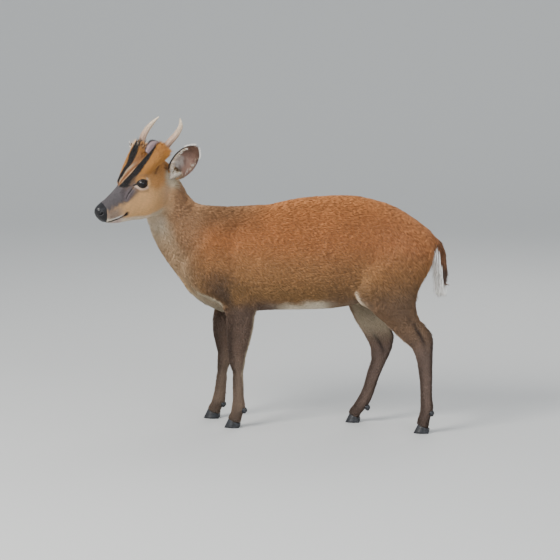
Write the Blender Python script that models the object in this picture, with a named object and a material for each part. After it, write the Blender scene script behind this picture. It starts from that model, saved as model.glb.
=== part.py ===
"""A muntjac buck standing with its head turned, life size, in metres, +Z up.

The nose points to -X, the left side faces -Y and the hooves stand on z = 0. Outlines of the body, neck and
legs are pairs of points in the side view, each pair joined by an oval ring with a half width of its own. The
head is shaped in a frame of its own, from the tip of the nose backwards, and is then turned into place.
"""

import math

import bmesh
import bpy
import numpy as np
from mathutils import Matrix, Vector

# Sizes shared by the whole animal.
GAP = 0.0003
BODY_VOXEL = 0.0036
HEAD_VOXEL = 0.0016
RING_SIDES = 36
BODY_TRIANGLES = 5000
HEAD_TRIANGLES = 3400
# Over this height the body's skin is evened out, and as much higher it has its full share.
EASED_ABOVE = 0.22
EASED_OVER = 0.08
BODY_EASINGS = 26
HEAD_EASINGS = 60

# The head's own frame: the nose tip in the world, how far the face turns and how far the nose is dropped.
NOSE_TIP = Vector((-0.3834, -0.1765, 0.5302))
HEAD_TURN = math.radians(50)
HEAD_DROP = math.radians(20.3)
BACK = Vector((
    math.cos(HEAD_DROP) * math.cos(HEAD_TURN),
    math.cos(HEAD_DROP) * math.sin(HEAD_TURN),
    math.sin(HEAD_DROP),
))
LEFT = Vector((math.sin(HEAD_TURN), -math.cos(HEAD_TURN), 0))
CROWN = LEFT.cross(BACK)

# Torso: x, top, bottom, half width, and how much wider (+) or narrower (-) the upper half is.
TORSO = [
    (-0.226, 0.425, 0.375, 0.018, -0.10),
    (-0.214, 0.462, 0.350, 0.036, -0.08),
    (-0.190, 0.503, 0.319, 0.050, -0.06),
    (-0.150, 0.525, 0.291, 0.061, -0.10),
    (-0.100, 0.531, 0.273, 0.069, -0.14),
    (-0.050, 0.535, 0.276, 0.077, -0.16),
    (0.000, 0.539, 0.282, 0.085, -0.16),
    (0.050, 0.550, 0.284, 0.091, -0.15),
    (0.100, 0.558, 0.286, 0.094, -0.14),
    (0.150, 0.562, 0.289, 0.093, -0.12),
    (0.200, 0.563, 0.297, 0.088, -0.08),
    (0.250, 0.555, 0.314, 0.081, -0.02),
    (0.300, 0.540, 0.338, 0.075, 0.02),
    (0.340, 0.518, 0.363, 0.066, 0.02),
    (0.372, 0.497, 0.388, 0.052, 0.00),
    (0.394, 0.479, 0.410, 0.033, 0.00),
    (0.405, 0.462, 0.430, 0.014, 0.00),
]

# Neck: nape (x, z), throat (x, z), sideways place, half width, and how much of the head's turn it has.
NECK = [
    (-0.095, 0.532, -0.155, 0.320, 0.000, 0.056, 0.0),
    (-0.145, 0.534, -0.205, 0.345, 0.000, 0.056, 0.0),
    (-0.174, 0.5385, -0.236, 0.378, -0.001, 0.052, 0.1),
    (-0.190, 0.553, -0.256, 0.4065, -0.003, 0.049, 0.25),
    (-0.2045, 0.575, -0.276, 0.443, -0.008, 0.046, 0.45),
    (-0.214, 0.596, -0.287, 0.478, -0.015, 0.044, 0.65),
    (-0.232, 0.620, -0.293, 0.510, -0.024, 0.042, 0.85),
    (-0.258, 0.633, -0.299, 0.545, -0.035, 0.040, 1.0),
]

# Legs: front (x, z), rear (x, z), distance from the mid plane, half width.
SHOULDER = [
    (-0.130, 0.505, -0.062, 0.505, 0.034, 0.014),
    (-0.178, 0.445, -0.062, 0.450, 0.046, 0.022),
    (-0.203, 0.390, -0.048, 0.388, 0.051, 0.028),
    (-0.176, 0.338, -0.028, 0.330, 0.055, 0.029),
]
FORELEG_LEFT = SHOULDER + [
    (-0.106, 0.300, -0.0205, 0.291, 0.057, 0.025),
    (-0.0914, 0.248, -0.0269, 0.248, 0.057, 0.0205),
    (-0.0887, 0.1995, -0.0393, 0.1995, 0.0565, 0.0175),
    (-0.0861, 0.1728, -0.0464, 0.1728, 0.056, 0.0158),
    (-0.0840, 0.156, -0.0488, 0.156, 0.056, 0.0162),
    (-0.0776, 0.1363, -0.0524, 0.1363, 0.0555, 0.0124),
    (-0.0776, 0.0974, -0.0515, 0.0974, 0.055, 0.0110),
    (-0.0776, 0.0706, -0.0507, 0.0706, 0.055, 0.0118),
    (-0.0795, 0.0523, -0.0478, 0.0523, 0.055, 0.0144),
    (-0.0832, 0.0360, -0.0539, 0.0340, 0.055, 0.0138),
    (-0.0885, 0.0250, -0.0585, 0.0185, 0.055, 0.0156),
    (-0.0890, 0.0150, -0.0590, 0.0070, 0.055, 0.0150),
]
FORELEG_RIGHT = SHOULDER + [
    (-0.142, 0.298, -0.046, 0.290, 0.057, 0.025),
    (-0.146, 0.236, -0.075, 0.236, 0.057, 0.0205),
    (-0.1390, 0.186, -0.0858, 0.186, 0.0565, 0.0175),
    (-0.1335, 0.163, -0.0940, 0.163, 0.056, 0.0158),
    (-0.1338, 0.147, -0.0985, 0.147, 0.056, 0.0162),
    (-0.1345, 0.126, -0.1090, 0.124, 0.0555, 0.0124),
    (-0.1391, 0.0900, -0.1125, 0.0870, 0.055, 0.0110),
    (-0.1432, 0.0640, -0.1150, 0.0610, 0.055, 0.0118),
    (-0.1477, 0.0470, -0.1163, 0.0430, 0.055, 0.0144),
    (-0.1537, 0.0340, -0.1245, 0.0270, 0.055, 0.0138),
    (-0.1580, 0.0250, -0.1285, 0.0170, 0.055, 0.0156),
    (-0.1590, 0.0150, -0.1290, 0.0070, 0.055, 0.0150),
]
HINDLEG_LEFT = [
    (0.225, 0.505, 0.362, 0.492, 0.036, 0.026),
    (0.206, 0.425, 0.407, 0.437, 0.045, 0.037),
    (0.205, 0.385, 0.399, 0.398, 0.049, 0.040),
    (0.209, 0.345, 0.379, 0.361, 0.051, 0.038),
    (0.224, 0.315, 0.3685, 0.332, 0.053, 0.034),
    (0.2511, 0.2950, 0.3655, 0.3100, 0.055, 0.030),
    (0.2900, 0.2628, 0.3727, 0.2785, 0.056, 0.0245),
    (0.3288, 0.2270, 0.3947, 0.2525, 0.056, 0.0190),
    (0.3557, 0.2040, 0.4045, 0.2330, 0.056, 0.0160),
    (0.3655, 0.1840, 0.4052, 0.1990, 0.0555, 0.0152),
    (0.3703, 0.1610, 0.4045, 0.1660, 0.055, 0.0132),
    (0.3752, 0.1235, 0.4045, 0.1245, 0.055, 0.0116),
    (0.3771, 0.0870, 0.4049, 0.0880, 0.055, 0.0114),
    (0.3776, 0.0610, 0.4074, 0.0610, 0.055, 0.0142),
    (0.3742, 0.0430, 0.4008, 0.0390, 0.055, 0.0134),
    (0.3700, 0.0290, 0.3972, 0.0210, 0.055, 0.0152),
    (0.3690, 0.0150, 0.3965, 0.0070, 0.055, 0.0146),
]
HINDLEG_RIGHT = [
    (0.218, 0.505, 0.355, 0.492, 0.036, 0.026),
    (0.188, 0.430, 0.388, 0.432, 0.045, 0.037),
    (0.176, 0.385, 0.372, 0.392, 0.049, 0.040),
    (0.172, 0.345, 0.342, 0.350, 0.051, 0.038),
    (0.180, 0.308, 0.320, 0.322, 0.053, 0.034),
    (0.1940, 0.2760, 0.3010, 0.2960, 0.055, 0.030),
    (0.2089, 0.2480, 0.2900, 0.2700, 0.056, 0.0245),
    (0.2262, 0.2220, 0.2905, 0.2440, 0.056, 0.0190),
    (0.2385, 0.2000, 0.3000, 0.2160, 0.056, 0.0160),
    (0.2453, 0.1800, 0.2964, 0.1880, 0.0555, 0.0152),
    (0.2460, 0.1600, 0.2845, 0.1580, 0.055, 0.0132),
    (0.2365, 0.1250, 0.2665, 0.1170, 0.055, 0.0116),
    (0.2261, 0.0860, 0.2537, 0.0780, 0.055, 0.0114),
    (0.2137, 0.0600, 0.2432, 0.0510, 0.055, 0.0142),
    (0.2040, 0.0430, 0.2295, 0.0320, 0.055, 0.0134),
    (0.1935, 0.0290, 0.2190, 0.0190, 0.055, 0.0152),
    (0.1905, 0.0150, 0.2170, 0.0070, 0.055, 0.0146),
]

# Hooves: name of the foot, side (-1 left, +1 right), toe x, heel x, and the fetlock point behind the leg.
FEET = {
    "fore_left": (-1, -0.0985, -0.0610, (-0.0500, 0.0430)),
    "fore_right": (1, -0.1690, -0.1300, (-0.1205, 0.0355)),
    "hind_left": (-1, 0.3610, 0.3980, (0.4035, 0.0490)),
    "hind_right": (1, 0.1830, 0.2185, (0.2370, 0.0370)),
}
FOOT_OUT = 0.055
HOOF_HALF_WIDTH = 0.0165
HOOF_CLEFT = 0.0022
HOOF_FRONT_HEIGHT = 0.0230
HOOF_HEEL_HEIGHT = 0.0105
CORONET_BEHIND_TOE = 0.0110
CORONET_BEHIND_HEEL = 0.0010
DEWCLAW_RADII = (0.0058, 0.0042, 0.0080)
DEWCLAW_OUT = 0.0078
DEWCLAW_POINTS = (0.55, 0.0, -0.83)

# Head: distance behind the nose tip, top, bottom, half width, and lean of the width to the upper half.
HEAD = [
    (0.0000, 0.0050, -0.0110, 0.0065, 0.10),
    (0.0025, 0.0092, -0.0170, 0.0106, 0.10),
    (0.0080, 0.0130, -0.0255, 0.0140, 0.05),
    (0.0180, 0.0160, -0.0335, 0.0160, -0.05),
    (0.0350, 0.0196, -0.0432, 0.0172, -0.12),
    (0.0550, 0.0248, -0.0505, 0.0192, -0.16),
    (0.0750, 0.0308, -0.0560, 0.0226, -0.14),
    (0.0950, 0.0376, -0.0620, 0.0282, -0.06),
    (0.1150, 0.0446, -0.0695, 0.0342, 0.02),
    (0.1350, 0.0510, -0.0735, 0.0392, 0.08),
    (0.1550, 0.0555, -0.0750, 0.0415, 0.06),
    (0.1750, 0.0575, -0.0725, 0.0415, 0.02),
    (0.1950, 0.0565, -0.0680, 0.0400, 0.00),
    (0.2150, 0.0500, -0.0590, 0.0360, 0.00),
    (0.2320, 0.0330, -0.0440, 0.0260, 0.00),
    (0.2420, 0.0100, -0.0220, 0.0120, 0.00),
]

EYE_CENTRE = (0.1290, 0.0305, 0.0215)
EYE_RADIUS = 0.0132
ORBIT_CENTRE = (0.1300, 0.0262, 0.0235)
ORBIT_RADII = (0.0235, 0.0192, 0.0195)
LID_OPENING = (0.0280, 0.0172)
LID_CUT_REACH = (0.0045, 0.0400)
EYE_LOOKS = (-0.36, 0.92, 0.12)
LID_TILT = math.radians(-20)

# Mouth line from its front to its corner, its depth, half its height and how far out the cutter runs.
MOUTH_FRONT = 0.0145
MOUTH_CORNER = 0.0690
MOUTH_DEPTH = 0.0024
MOUTH_OPEN = 0.0007
MOUTH_CUT_OUT = 0.0060

NOSTRIL_CENTRE = (0.0065, 0.0098, -0.0035)
NOSTRIL_RADII = (0.0062, 0.0021, 0.0034)
NOSTRIL_RUNS = (0.84, -0.54, 0.0)

# The bare nose ends at a plane through these two places, each a distance behind the nose tip and a height.
NOSE_PAD_TOP = (0.0240, 0.0195)
NOSE_PAD_BOTTOM = (0.0140, -0.0290)

# Pedicle: the haired bone pillar that carries each antler. Place in the head's frame, then radius.
PEDICLE = [
    (0.0980, 0.0150, 0.0305, 0.0090),
    (0.1220, 0.0200, 0.0400, 0.0132),
    (0.1460, 0.0262, 0.0490, 0.0172),
    (0.1720, 0.0325, 0.0595, 0.0203),
    (0.1940, 0.0385, 0.0685, 0.0210),
    (0.2085, 0.0425, 0.0760, 0.0200),
]
PEDICLE_RUNS_ON = 0.012

# Antler: a plain spike that bows outwards and hooks back in at its tip. Place, then radius.
ANTLER = [
    (0.2085, 0.0440, 0.0766, 0.0084),
    (0.2300, 0.0540, 0.0905, 0.0078),
    (0.2500, 0.0588, 0.1012, 0.0069),
    (0.2695, 0.0548, 0.1118, 0.0051),
    (0.2846, 0.0410, 0.1236, 0.0012),
]
BURR_RADIUS = 0.0112
BURR_HEIGHT = 0.0048
SEAT_RADIUS = 0.026
SEAT_LENGTH = 0.040

# Ear: where it grows from the head, the way it points and the way its cup opens.
EAR_ROOT = (0.2160, 0.0320, 0.0005)
EAR_POINTS_LEFT = (0.300, 0.745, 0.595)
EAR_POINTS_RIGHT = (0.200, 0.800, 0.565)
EAR_OPENS = Vector((-0.72, 0.62, 0.10))
EAR_LENGTH = 0.119
EAR_WALL = 0.0022
EAR_ROOT_SUNK = 0.0110
# Share of the length, half width, half angle of the cup's arc in radians.
EAR_PROFILE = [
    (0.00, 0.0110, 2.60),
    (0.12, 0.0150, 2.30),
    (0.25, 0.0215, 1.85),
    (0.40, 0.0268, 1.45),
    (0.55, 0.0288, 1.20),
    (0.70, 0.0268, 1.00),
    (0.84, 0.0208, 0.85),
    (0.94, 0.0118, 0.75),
    (1.00, 0.0022, 0.70),
]

# Tail core: front (x, z), rear (x, z), distance from the mid plane, half width.
TAIL = [
    (0.376, 0.452, 0.396, 0.478, 0.000, 0.0140),
    (0.398, 0.438, 0.419, 0.456, 0.000, 0.0130),
    (0.405, 0.418, 0.430, 0.429, 0.000, 0.0120),
    (0.407, 0.396, 0.434, 0.399, 0.000, 0.0110),
    (0.410, 0.370, 0.432, 0.369, 0.000, 0.0090),
    (0.416, 0.344, 0.427, 0.344, 0.000, 0.0050),
]
# The fringe of locks: how many, their size, where on the tail they start and end, and how thin a tip is.
TAIL_LOCKS = 16
TAIL_LOCK_LENGTH = 0.045
TAIL_LOCK_WIDTH = 0.0085
TAIL_LOCKS_FROM = 0.25
TAIL_LOCKS_TO = 0.86
TAIL_LOCK_RAISED = 0.008
LOCK_LEAST = 0.0004

# Where the one skin is parted. The head's cut is a point and a normal in the head's frame.
HEAD_CUT = (0.1680, 0.0, -0.0750)
HEAD_CUT_NORMAL = (-0.8247, 0.0, 0.5655)
NECK_CUT = (-0.168, 0.0, 0.537)
NECK_CUT_NORMAL = (-0.952, 0.0, 0.306)
# Under this line, in x and z, the legs part from the torso.
LEG_CUT = [(-0.50, 0.2610), (0.10, 0.2610), (0.20, 0.2830), (0.60, 0.4830)]
LEG_CUT_HALF_WIDTH = 0.30
LEG_CUT_FLOOR = -0.10


def clear_scene():
    for obj in list(bpy.data.objects):
        bpy.data.objects.remove(obj, do_unlink=True)


def material(name, colour, roughness):
    made = bpy.data.materials.new(name)
    made.use_nodes = True
    shader = made.node_tree.nodes["Principled BSDF"]
    shader.inputs["Base Color"].default_value = (*colour, 1.0)
    shader.inputs["Roughness"].default_value = roughness
    shader.inputs["Metallic"].default_value = 0.0
    made.diffuse_color = (*colour, 1.0)
    return made


def in_head(s, left, up):
    """The world place of a point in the head's frame: behind the nose tip, to the left, towards the crown."""
    return NOSE_TIP + BACK * s + LEFT * left + CROWN * up


def turned_by_head(direction):
    return BACK * direction[0] + LEFT * direction[1] + CROWN * direction[2]


def spline(places, rows, wanted):
    """Rows read at the wanted places from a smooth monotone cubic through each column."""
    places, rows = np.asarray(places, float), np.asarray(rows, float)
    step = np.diff(places)[:, None]
    slope = np.diff(rows, axis=0) / step
    same_way = slope[:-1] * slope[1:] > 0
    weight = step[1:] + 2 * step[:-1], 2 * step[1:] + step[:-1]
    with np.errstate(divide="ignore", invalid="ignore"):
        middle = sum(weight) / (weight[1] / slope[:-1] + weight[0] / slope[1:])
    middle = np.where(same_way, middle, 0)
    tangent = np.vstack([slope[:1], middle, slope[-1:]])
    k = np.clip(np.searchsorted(places, wanted, side="right") - 1, 0, len(places) - 2)
    h = step[k]
    t = ((np.asarray(wanted) - places[k])[:, None]) / h
    return (
        rows[k] * (1 + 2 * t) * (1 - t) ** 2
        + tangent[k] * h * t * (1 - t) ** 2
        + rows[k + 1] * t**2 * (3 - 2 * t)
        + tangent[k + 1] * h * t**2 * (t - 1)
    )


def oval(high, low, side, lean=0.0, power=2.0, sides=RING_SIDES):
    """A ring from its high point round to its low point, side being its half width as a vector."""
    angle = np.linspace(0, 2 * math.pi, sides, endpoint=False)
    c, s = np.cos(angle), np.sin(angle)
    along = np.sign(c) * np.abs(c) ** (2 / power)
    across = np.sign(s) * np.abs(s) ** (2 / power) * (1 + lean * c)
    high, low, side = (np.asarray(v, float) for v in (high, low, side))
    return (high + low) / 2 + along[:, None] * (high - low) / 2 + across[:, None] * side


def add_object(name, points, faces, shade=None):
    mesh = bpy.data.meshes.new(name)
    mesh.from_pydata([tuple(p) for p in points], [], faces)
    obj = bpy.data.objects.new(name, mesh)
    bpy.context.scene.collection.objects.link(obj)
    face_outwards(obj)
    if shade:
        mesh.materials.append(shade)
    return obj


def face_outwards(obj):
    work = bmesh.new()
    work.from_mesh(obj.data)
    bmesh.ops.recalc_face_normals(work, faces=work.faces)
    if work.calc_volume(signed=True) < 0:
        bmesh.ops.reverse_faces(work, faces=work.faces)
    work.to_mesh(obj.data)
    work.free()


def loft(name, rings, shade=None):
    """A closed skin over rings of equal count, its ends closed by fans."""
    rings = np.asarray(rings, float)
    count, sides = rings.shape[:2]
    points = list(rings.reshape(-1, 3))
    faces = []
    for i in range(count - 1):
        for j in range(sides):
            k = (j + 1) % sides
            a, b = i * sides + j, i * sides + k
            c, d = b + sides, a + sides
            faces += [(a, b, c), (a, c, d)]
    for i in (0, count - 1):
        points.append(rings[i].mean(axis=0))
        hub = len(points) - 1
        faces += [(i * sides + j, i * sides + (j + 1) % sides, hub) for j in range(sides)]
    return add_object(name, points, faces, shade)


def limb(name, rows, side, steps=5, turn=0.0, sides=RING_SIDES):
    """A leg, neck or tail: rows of front point, rear point, sideways place and half width."""
    rows = np.asarray(rows, float)
    centres = (rows[:, 0:2] + rows[:, 2:4]) / 2
    places = np.concatenate([[0], np.cumsum(np.linalg.norm(np.diff(centres, axis=0), axis=1) + 1e-6)])
    wanted = np.linspace(0, places[-1], steps * (len(rows) - 1) + 1)
    rings = []
    for row in spline(places, rows, wanted):
        angle = turn * row[6] if len(row) > 6 else 0.0
        out = np.array([math.sin(angle), -math.cos(angle), 0.0])
        y = side * row[4]
        rings.append(oval((row[0], y, row[1]), (row[2], y, row[3]), out * row[5], sides=sides))
    return loft(name, rings)


def tube(name, path, sides=14, steps=6, shade=None):
    """A round tube through (x, y, z, radius) rows, with rings square to its path."""
    path = np.asarray(path, float)
    places = np.concatenate([[0], np.cumsum(np.linalg.norm(np.diff(path[:, :3], axis=0), axis=1))])
    rows = spline(places, path, np.linspace(0, places[-1], steps * (len(path) - 1) + 1))
    ahead = np.gradient(rows[:, :3], axis=0)
    rings = []
    side = Vector((0.3, 1.0, 0.2))
    for row, way in zip(rows, ahead):
        way = Vector(way).normalized()
        side = (side - way * side.dot(way)).normalized()
        up = way.cross(side)
        centre = Vector(row[:3])
        rings.append(oval(centre + up * row[3], centre - up * row[3], side * row[3], sides=sides))
    return loft(name, rings, shade)


def ball(name, centre, radii, axes, rings=14, sides=24, shade=None):
    """An ellipsoid with the given radii along the three axes."""
    points = [centre + axes[2] * radii[2]]
    for i in range(1, rings):
        polar = math.pi * i / rings
        for j in range(sides):
            round_angle = 2 * math.pi * j / sides
            points.append(
                centre
                + axes[0] * radii[0] * math.sin(polar) * math.cos(round_angle)
                + axes[1] * radii[1] * math.sin(polar) * math.sin(round_angle)
                + axes[2] * radii[2] * math.cos(polar)
            )
    points.append(centre - axes[2] * radii[2])
    last = len(points) - 1
    faces = [(0, 1 + j, 1 + (j + 1) % sides) for j in range(sides)]
    for i in range(rings - 2):
        for j in range(sides):
            a, b = 1 + i * sides + j, 1 + i * sides + (j + 1) % sides
            faces += [(a, a + sides, b + sides), (a, b + sides, b)]
    start = last - sides
    faces += [(last, start + (j + 1) % sides, start + j) for j in range(sides)]
    return add_object(name, points, faces, shade)


def evaluated_mesh(obj):
    graph = bpy.context.evaluated_depsgraph_get()
    graph.update()
    return bpy.data.meshes.new_from_object(obj.evaluated_get(graph))


def apply_modifiers(obj):
    mesh = evaluated_mesh(obj)
    obj.modifiers.clear()
    obj.data = mesh


def remove(*objects):
    for obj in objects:
        bpy.data.objects.remove(obj, do_unlink=True)


def fused(name, pieces, voxel):
    """One closed skin over overlapping pieces, by a voxel remesh. The pieces are used up."""
    work = bmesh.new()
    for piece in pieces:
        work.from_mesh(piece.data)
    mesh = bpy.data.meshes.new(name)
    work.to_mesh(mesh)
    work.free()
    remove(*pieces)
    obj = bpy.data.objects.new(name, mesh)
    bpy.context.scene.collection.objects.link(obj)
    remesh = obj.modifiers.new("Remesh", "REMESH")
    remesh.mode = "VOXEL"
    remesh.voxel_size = voxel
    apply_modifiers(obj)
    return obj


def places_of(obj):
    points = np.empty(len(obj.data.vertices) * 3)
    obj.data.vertices.foreach_get("co", points)
    return points.reshape(-1, 3)


def relax(obj, share, rounds):
    """Evens the skin out, each point by its own share, so that muscles flow into one another."""
    points = places_of(obj)
    edges = np.empty(len(obj.data.edges) * 2, np.int64)
    obj.data.edges.foreach_get("vertices", edges)
    a, b = edges.reshape(-1, 2).T
    degree = np.bincount(np.concatenate([a, b]), minlength=len(points))[:, None]
    for _ in range(rounds):
        total = np.zeros_like(points)
        for column in range(3):
            total[:, column] = np.bincount(a, points[b, column], len(points))
            total[:, column] += np.bincount(b, points[a, column], len(points))
        points += (total / degree - points) * share[:, None]
    obj.data.vertices.foreach_set("co", points.ravel())
    obj.data.update()


def thinned(obj, triangles, keep=None):
    """Fewer triangles, with more of them left where keep is high."""
    triangulate = obj.modifiers.new("Triangulate", "TRIANGULATE")
    triangulate.quad_method = "FIXED"
    apply_modifiers(obj)
    decimate = obj.modifiers.new("Decimate", "DECIMATE")
    decimate.ratio = triangles / len(obj.data.polygons)
    if keep is not None:
        group = obj.vertex_groups.new(name="keep")
        for level in range(5):
            chosen = np.flatnonzero((keep >= level / 5) & (keep < (level + 1) / 5 + (level == 4)))
            group.add([int(i) for i in chosen], 1 - (level + 0.5) / 5, "REPLACE")
        decimate.vertex_group = "keep"
        decimate.vertex_group_factor = 1.0
    decimate.use_collapse_triangulate = True
    apply_modifiers(obj)
    obj.vertex_groups.clear()


def boolean(obj, other, operation, solver="EXACT"):
    """Applies one Boolean and uses the other object up."""
    modifier = obj.modifiers.new("Boolean", "BOOLEAN")
    modifier.object = other
    modifier.operation = operation
    modifier.solver = solver
    apply_modifiers(obj)
    remove(other)


def joined(obj, pieces):
    """One closed body out of a node and the pieces rooted in it, by a single union."""
    group = bpy.data.collections.new("rooted")
    bpy.context.scene.collection.children.link(group)
    for piece in pieces:
        bpy.context.scene.collection.objects.unlink(piece)
        group.objects.link(piece)
    modifier = obj.modifiers.new("Boolean", "BOOLEAN")
    modifier.operand_type = "COLLECTION"
    modifier.collection = group
    modifier.operation = "UNION"
    modifier.solver = "EXACT"
    apply_modifiers(obj)
    remove(*pieces)
    bpy.data.collections.remove(group)
    keep_largest(obj)


def islands(obj):
    """The closed surfaces of a mesh, as lists of face indices, the largest volume first."""
    work = bmesh.new()
    work.from_mesh(obj.data)
    work.faces.ensure_lookup_table()
    seen, found = set(), []
    for face in work.faces:
        if face.index in seen:
            continue
        stack, island, volume = [face], [], 0.0
        seen.add(face.index)
        while stack:
            current = stack.pop()
            island.append(current.index)
            corners = [v.co for v in current.verts]
            for i in range(1, len(corners) - 1):
                volume += corners[0].dot(corners[i].cross(corners[i + 1])) / 6
            for edge in current.edges:
                for near in edge.link_faces:
                    if near.index not in seen:
                        seen.add(near.index)
                        stack.append(near)
        found.append((abs(volume), island))
    work.free()
    return [island for _, island in sorted(found, key=lambda item: -item[0])]


def keep_faces(obj, chosen):
    wanted = set(chosen)
    work = bmesh.new()
    work.from_mesh(obj.data)
    dropped = [f for f in work.faces if f.index not in wanted]
    bmesh.ops.delete(work, geom=dropped, context="FACES")
    work.to_mesh(obj.data)
    work.free()


def keep_largest(obj):
    found = islands(obj)
    if len(found) > 1:
        keep_faces(obj, found[0])


def copy_of(obj, name):
    made = bpy.data.objects.new(name, obj.data.copy())
    bpy.context.scene.collection.objects.link(made)
    return made


def half_space(point, normal, size=1.2):
    """A box that fills the space on the side that the normal points to."""
    normal = Vector(normal).normalized()
    turn = normal.to_track_quat("Z", "Y").to_matrix().to_4x4()
    work = bmesh.new()
    bmesh.ops.create_cube(work, size=2 * size)
    bmesh.ops.translate(work, verts=work.verts, vec=(0, 0, size))
    bmesh.ops.transform(work, matrix=Matrix.Translation(point) @ turn, verts=work.verts)
    mesh = bpy.data.meshes.new("half_space")
    work.to_mesh(mesh)
    work.free()
    obj = bpy.data.objects.new("half_space", mesh)
    bpy.context.scene.collection.objects.link(obj)
    return obj


def cut_side(obj, point, normal):
    """Keeps what lies on the normal's side of a plane, half a gap clear of it."""
    normal = Vector(normal).normalized()
    boolean(obj, half_space(Vector(point) + normal * GAP / 2, normal), "INTERSECT")


def split(obj, point, normal, near_name, far_name):
    """Two nodes with a thin cut between them, the first on the normal's side."""
    near = copy_of(obj, "near")
    cut_side(near, point, normal)
    cut_side(obj, point, -Vector(normal))
    keep_largest(near)
    keep_largest(obj)
    obj.name = far_name
    near.name = near_name
    return near, obj


def swollen(obj, by):
    """A copy grown along its normals, which leaves a gap when it is cut from a neighbour."""
    made = copy_of(obj, "swollen")
    work = bmesh.new()
    work.from_mesh(made.data)
    work.normal_update()
    moves = [v.normal * (by * v.calc_shell_factor()) for v in work.verts]
    for vertex, move in zip(work.verts, moves):
        vertex.co += move
    work.to_mesh(made.data)
    work.free()
    return made


def cleared(obj, base, by=GAP):
    """Trims a piece so that it meets the surface it grows from with a gap."""
    boolean(obj, swollen(base, by), "DIFFERENCE")
    keep_largest(obj)


def torso():
    rows = np.array(TORSO)
    wanted = np.linspace(rows[0, 0], rows[-1, 0], 60)
    rings = [
        oval((x, 0, top), (x, 0, bottom), (0, -half, 0), lean=lean, power=2.1)
        for x, top, bottom, half, lean in spline(rows[:, 0], rows, wanted)
    ]
    return loft("torso", rings)


def head_rows(count):
    rows = np.array(HEAD)
    wanted = rows[-1, 0] * np.linspace(0, 1, count) ** 1.3
    return spline(rows[:, 0], rows, wanted)


def head_block():
    rings = []
    for s, top, bottom, half, lean in head_rows(60):
        rings.append(
            oval(in_head(s, 0, top), in_head(s, 0, bottom), LEFT * half, lean=lean, power=2.25, sides=56)
        )
    return loft("head", rings)


def head_half_width(s, up):
    """Half the head's width at a distance behind the nose tip and a height in the head's frame."""
    rows = np.array(HEAD)
    _, top, bottom, half, lean = spline(rows[:, 0], rows, [s])[0]
    share = np.clip((up - (top + bottom) / 2) / ((top - bottom) / 2), -1, 1)
    c = math.copysign(abs(share) ** (2.25 / 2), share)
    return half * (1 + lean * c) * (1 - c * c) ** (1 / 2.25)


def mirrored(point, side):
    return (point[0], point[1] * side, point[2])


def pedicle(side):
    path = [(*in_head(s, left * side, up), radius) for s, left, up, radius in PEDICLE]
    ahead = (Vector(path[-1][:3]) - Vector(path[-2][:3])).normalized()
    beyond = Vector(path[-1][:3]) + ahead * PEDICLE_RUNS_ON
    return tube("pedicle", path + [(*beyond, PEDICLE[-1][3])], sides=24)


def orbit(side):
    return ball("orbit", in_head(*mirrored(ORBIT_CENTRE, side)), ORBIT_RADII, (BACK, LEFT, CROWN))


def lid_cutter(side):
    """The almond between the lids, as a prism that runs out of the socket the way the eye looks."""
    length, height = LID_OPENING
    looks = turned_by_head((EYE_LOOKS[0], EYE_LOOKS[1] * side, EYE_LOOKS[2])).normalized()
    rise = (BACK * math.cos(LID_TILT) + CROWN * math.sin(LID_TILT)).normalized()
    along = (rise - looks * rise.dot(looks)).normalized()
    across = looks.cross(along)
    centre = in_head(*mirrored(EYE_CENTRE, side))
    rings = []
    for reach in LID_CUT_REACH:
        ring = []
        for i in range(20):
            angle = 2 * math.pi * i / 20
            wide = math.cos(angle) * length / 2
            high = math.sin(angle) * height / 2 * (1 - 0.25 * abs(math.cos(angle)) ** 3)
            ring.append(centre + looks * reach + along * wide + across * high)
        rings.append(ring)
    return loft("lid_cutter", rings)


def eye_socket(side):
    centre = in_head(*mirrored(EYE_CENTRE, side))
    radius = EYE_RADIUS + GAP
    return ball("socket", centre, (radius,) * 3, (BACK, LEFT, CROWN), rings=10, sides=16)


def mouth_line(s):
    """Height of the mouth line in the head's frame."""
    return -0.0300 - 0.0035 * min(max(s - 0.012, 0) / 0.03, 1) + 0.5 * max(s - 0.056, 0) ** 1.25


def mouth_cutter():
    """A thin ribbon round the muzzle that leaves the line between the lips."""
    outline = [(MOUTH_FRONT, 0.0, 0.0)]
    for share in np.linspace(1 / 15, 1, 15):
        s = MOUTH_FRONT + (MOUTH_CORNER - MOUTH_FRONT) * share**1.3
        outline.append((s, head_half_width(s, mouth_line(s)), share))
    path = outline[::-1] + [(s, -half, share) for s, half, share in outline[1:]]
    ahead = np.gradient(np.array(path)[:, :2], axis=0)
    rings = []
    for (s, half, share), (ds, dh) in zip(path, ahead):
        length = math.hypot(ds, dh)
        out = (dh / length, -ds / length)
        depth = MOUTH_DEPTH * (0.45 + 0.55 * min((1 - share) * 6, 1))
        up = mouth_line(s)
        corners = []
        for reach, lift in ((-depth, -0.4), (-depth, 0.4), (MOUTH_CUT_OUT, 2.2), (MOUTH_CUT_OUT, -2.2)):
            corners.append(in_head(s + out[0] * reach, half + out[1] * reach, up + lift * MOUTH_OPEN))
        rings.append(corners)
    return loft("mouth_cutter", rings)


def nostril_cutter(side):
    inward = turned_by_head(mirrored(NOSTRIL_RUNS, side)).normalized()
    across = inward.cross(CROWN).normalized()
    centre = in_head(*mirrored(NOSTRIL_CENTRE, side))
    slant = (CROWN + across * 0.35 * side).normalized()
    other = inward.cross(slant).normalized()
    return ball("nostril", centre, NOSTRIL_RADII, (inward, other, slant), rings=8, sides=10)


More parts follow.
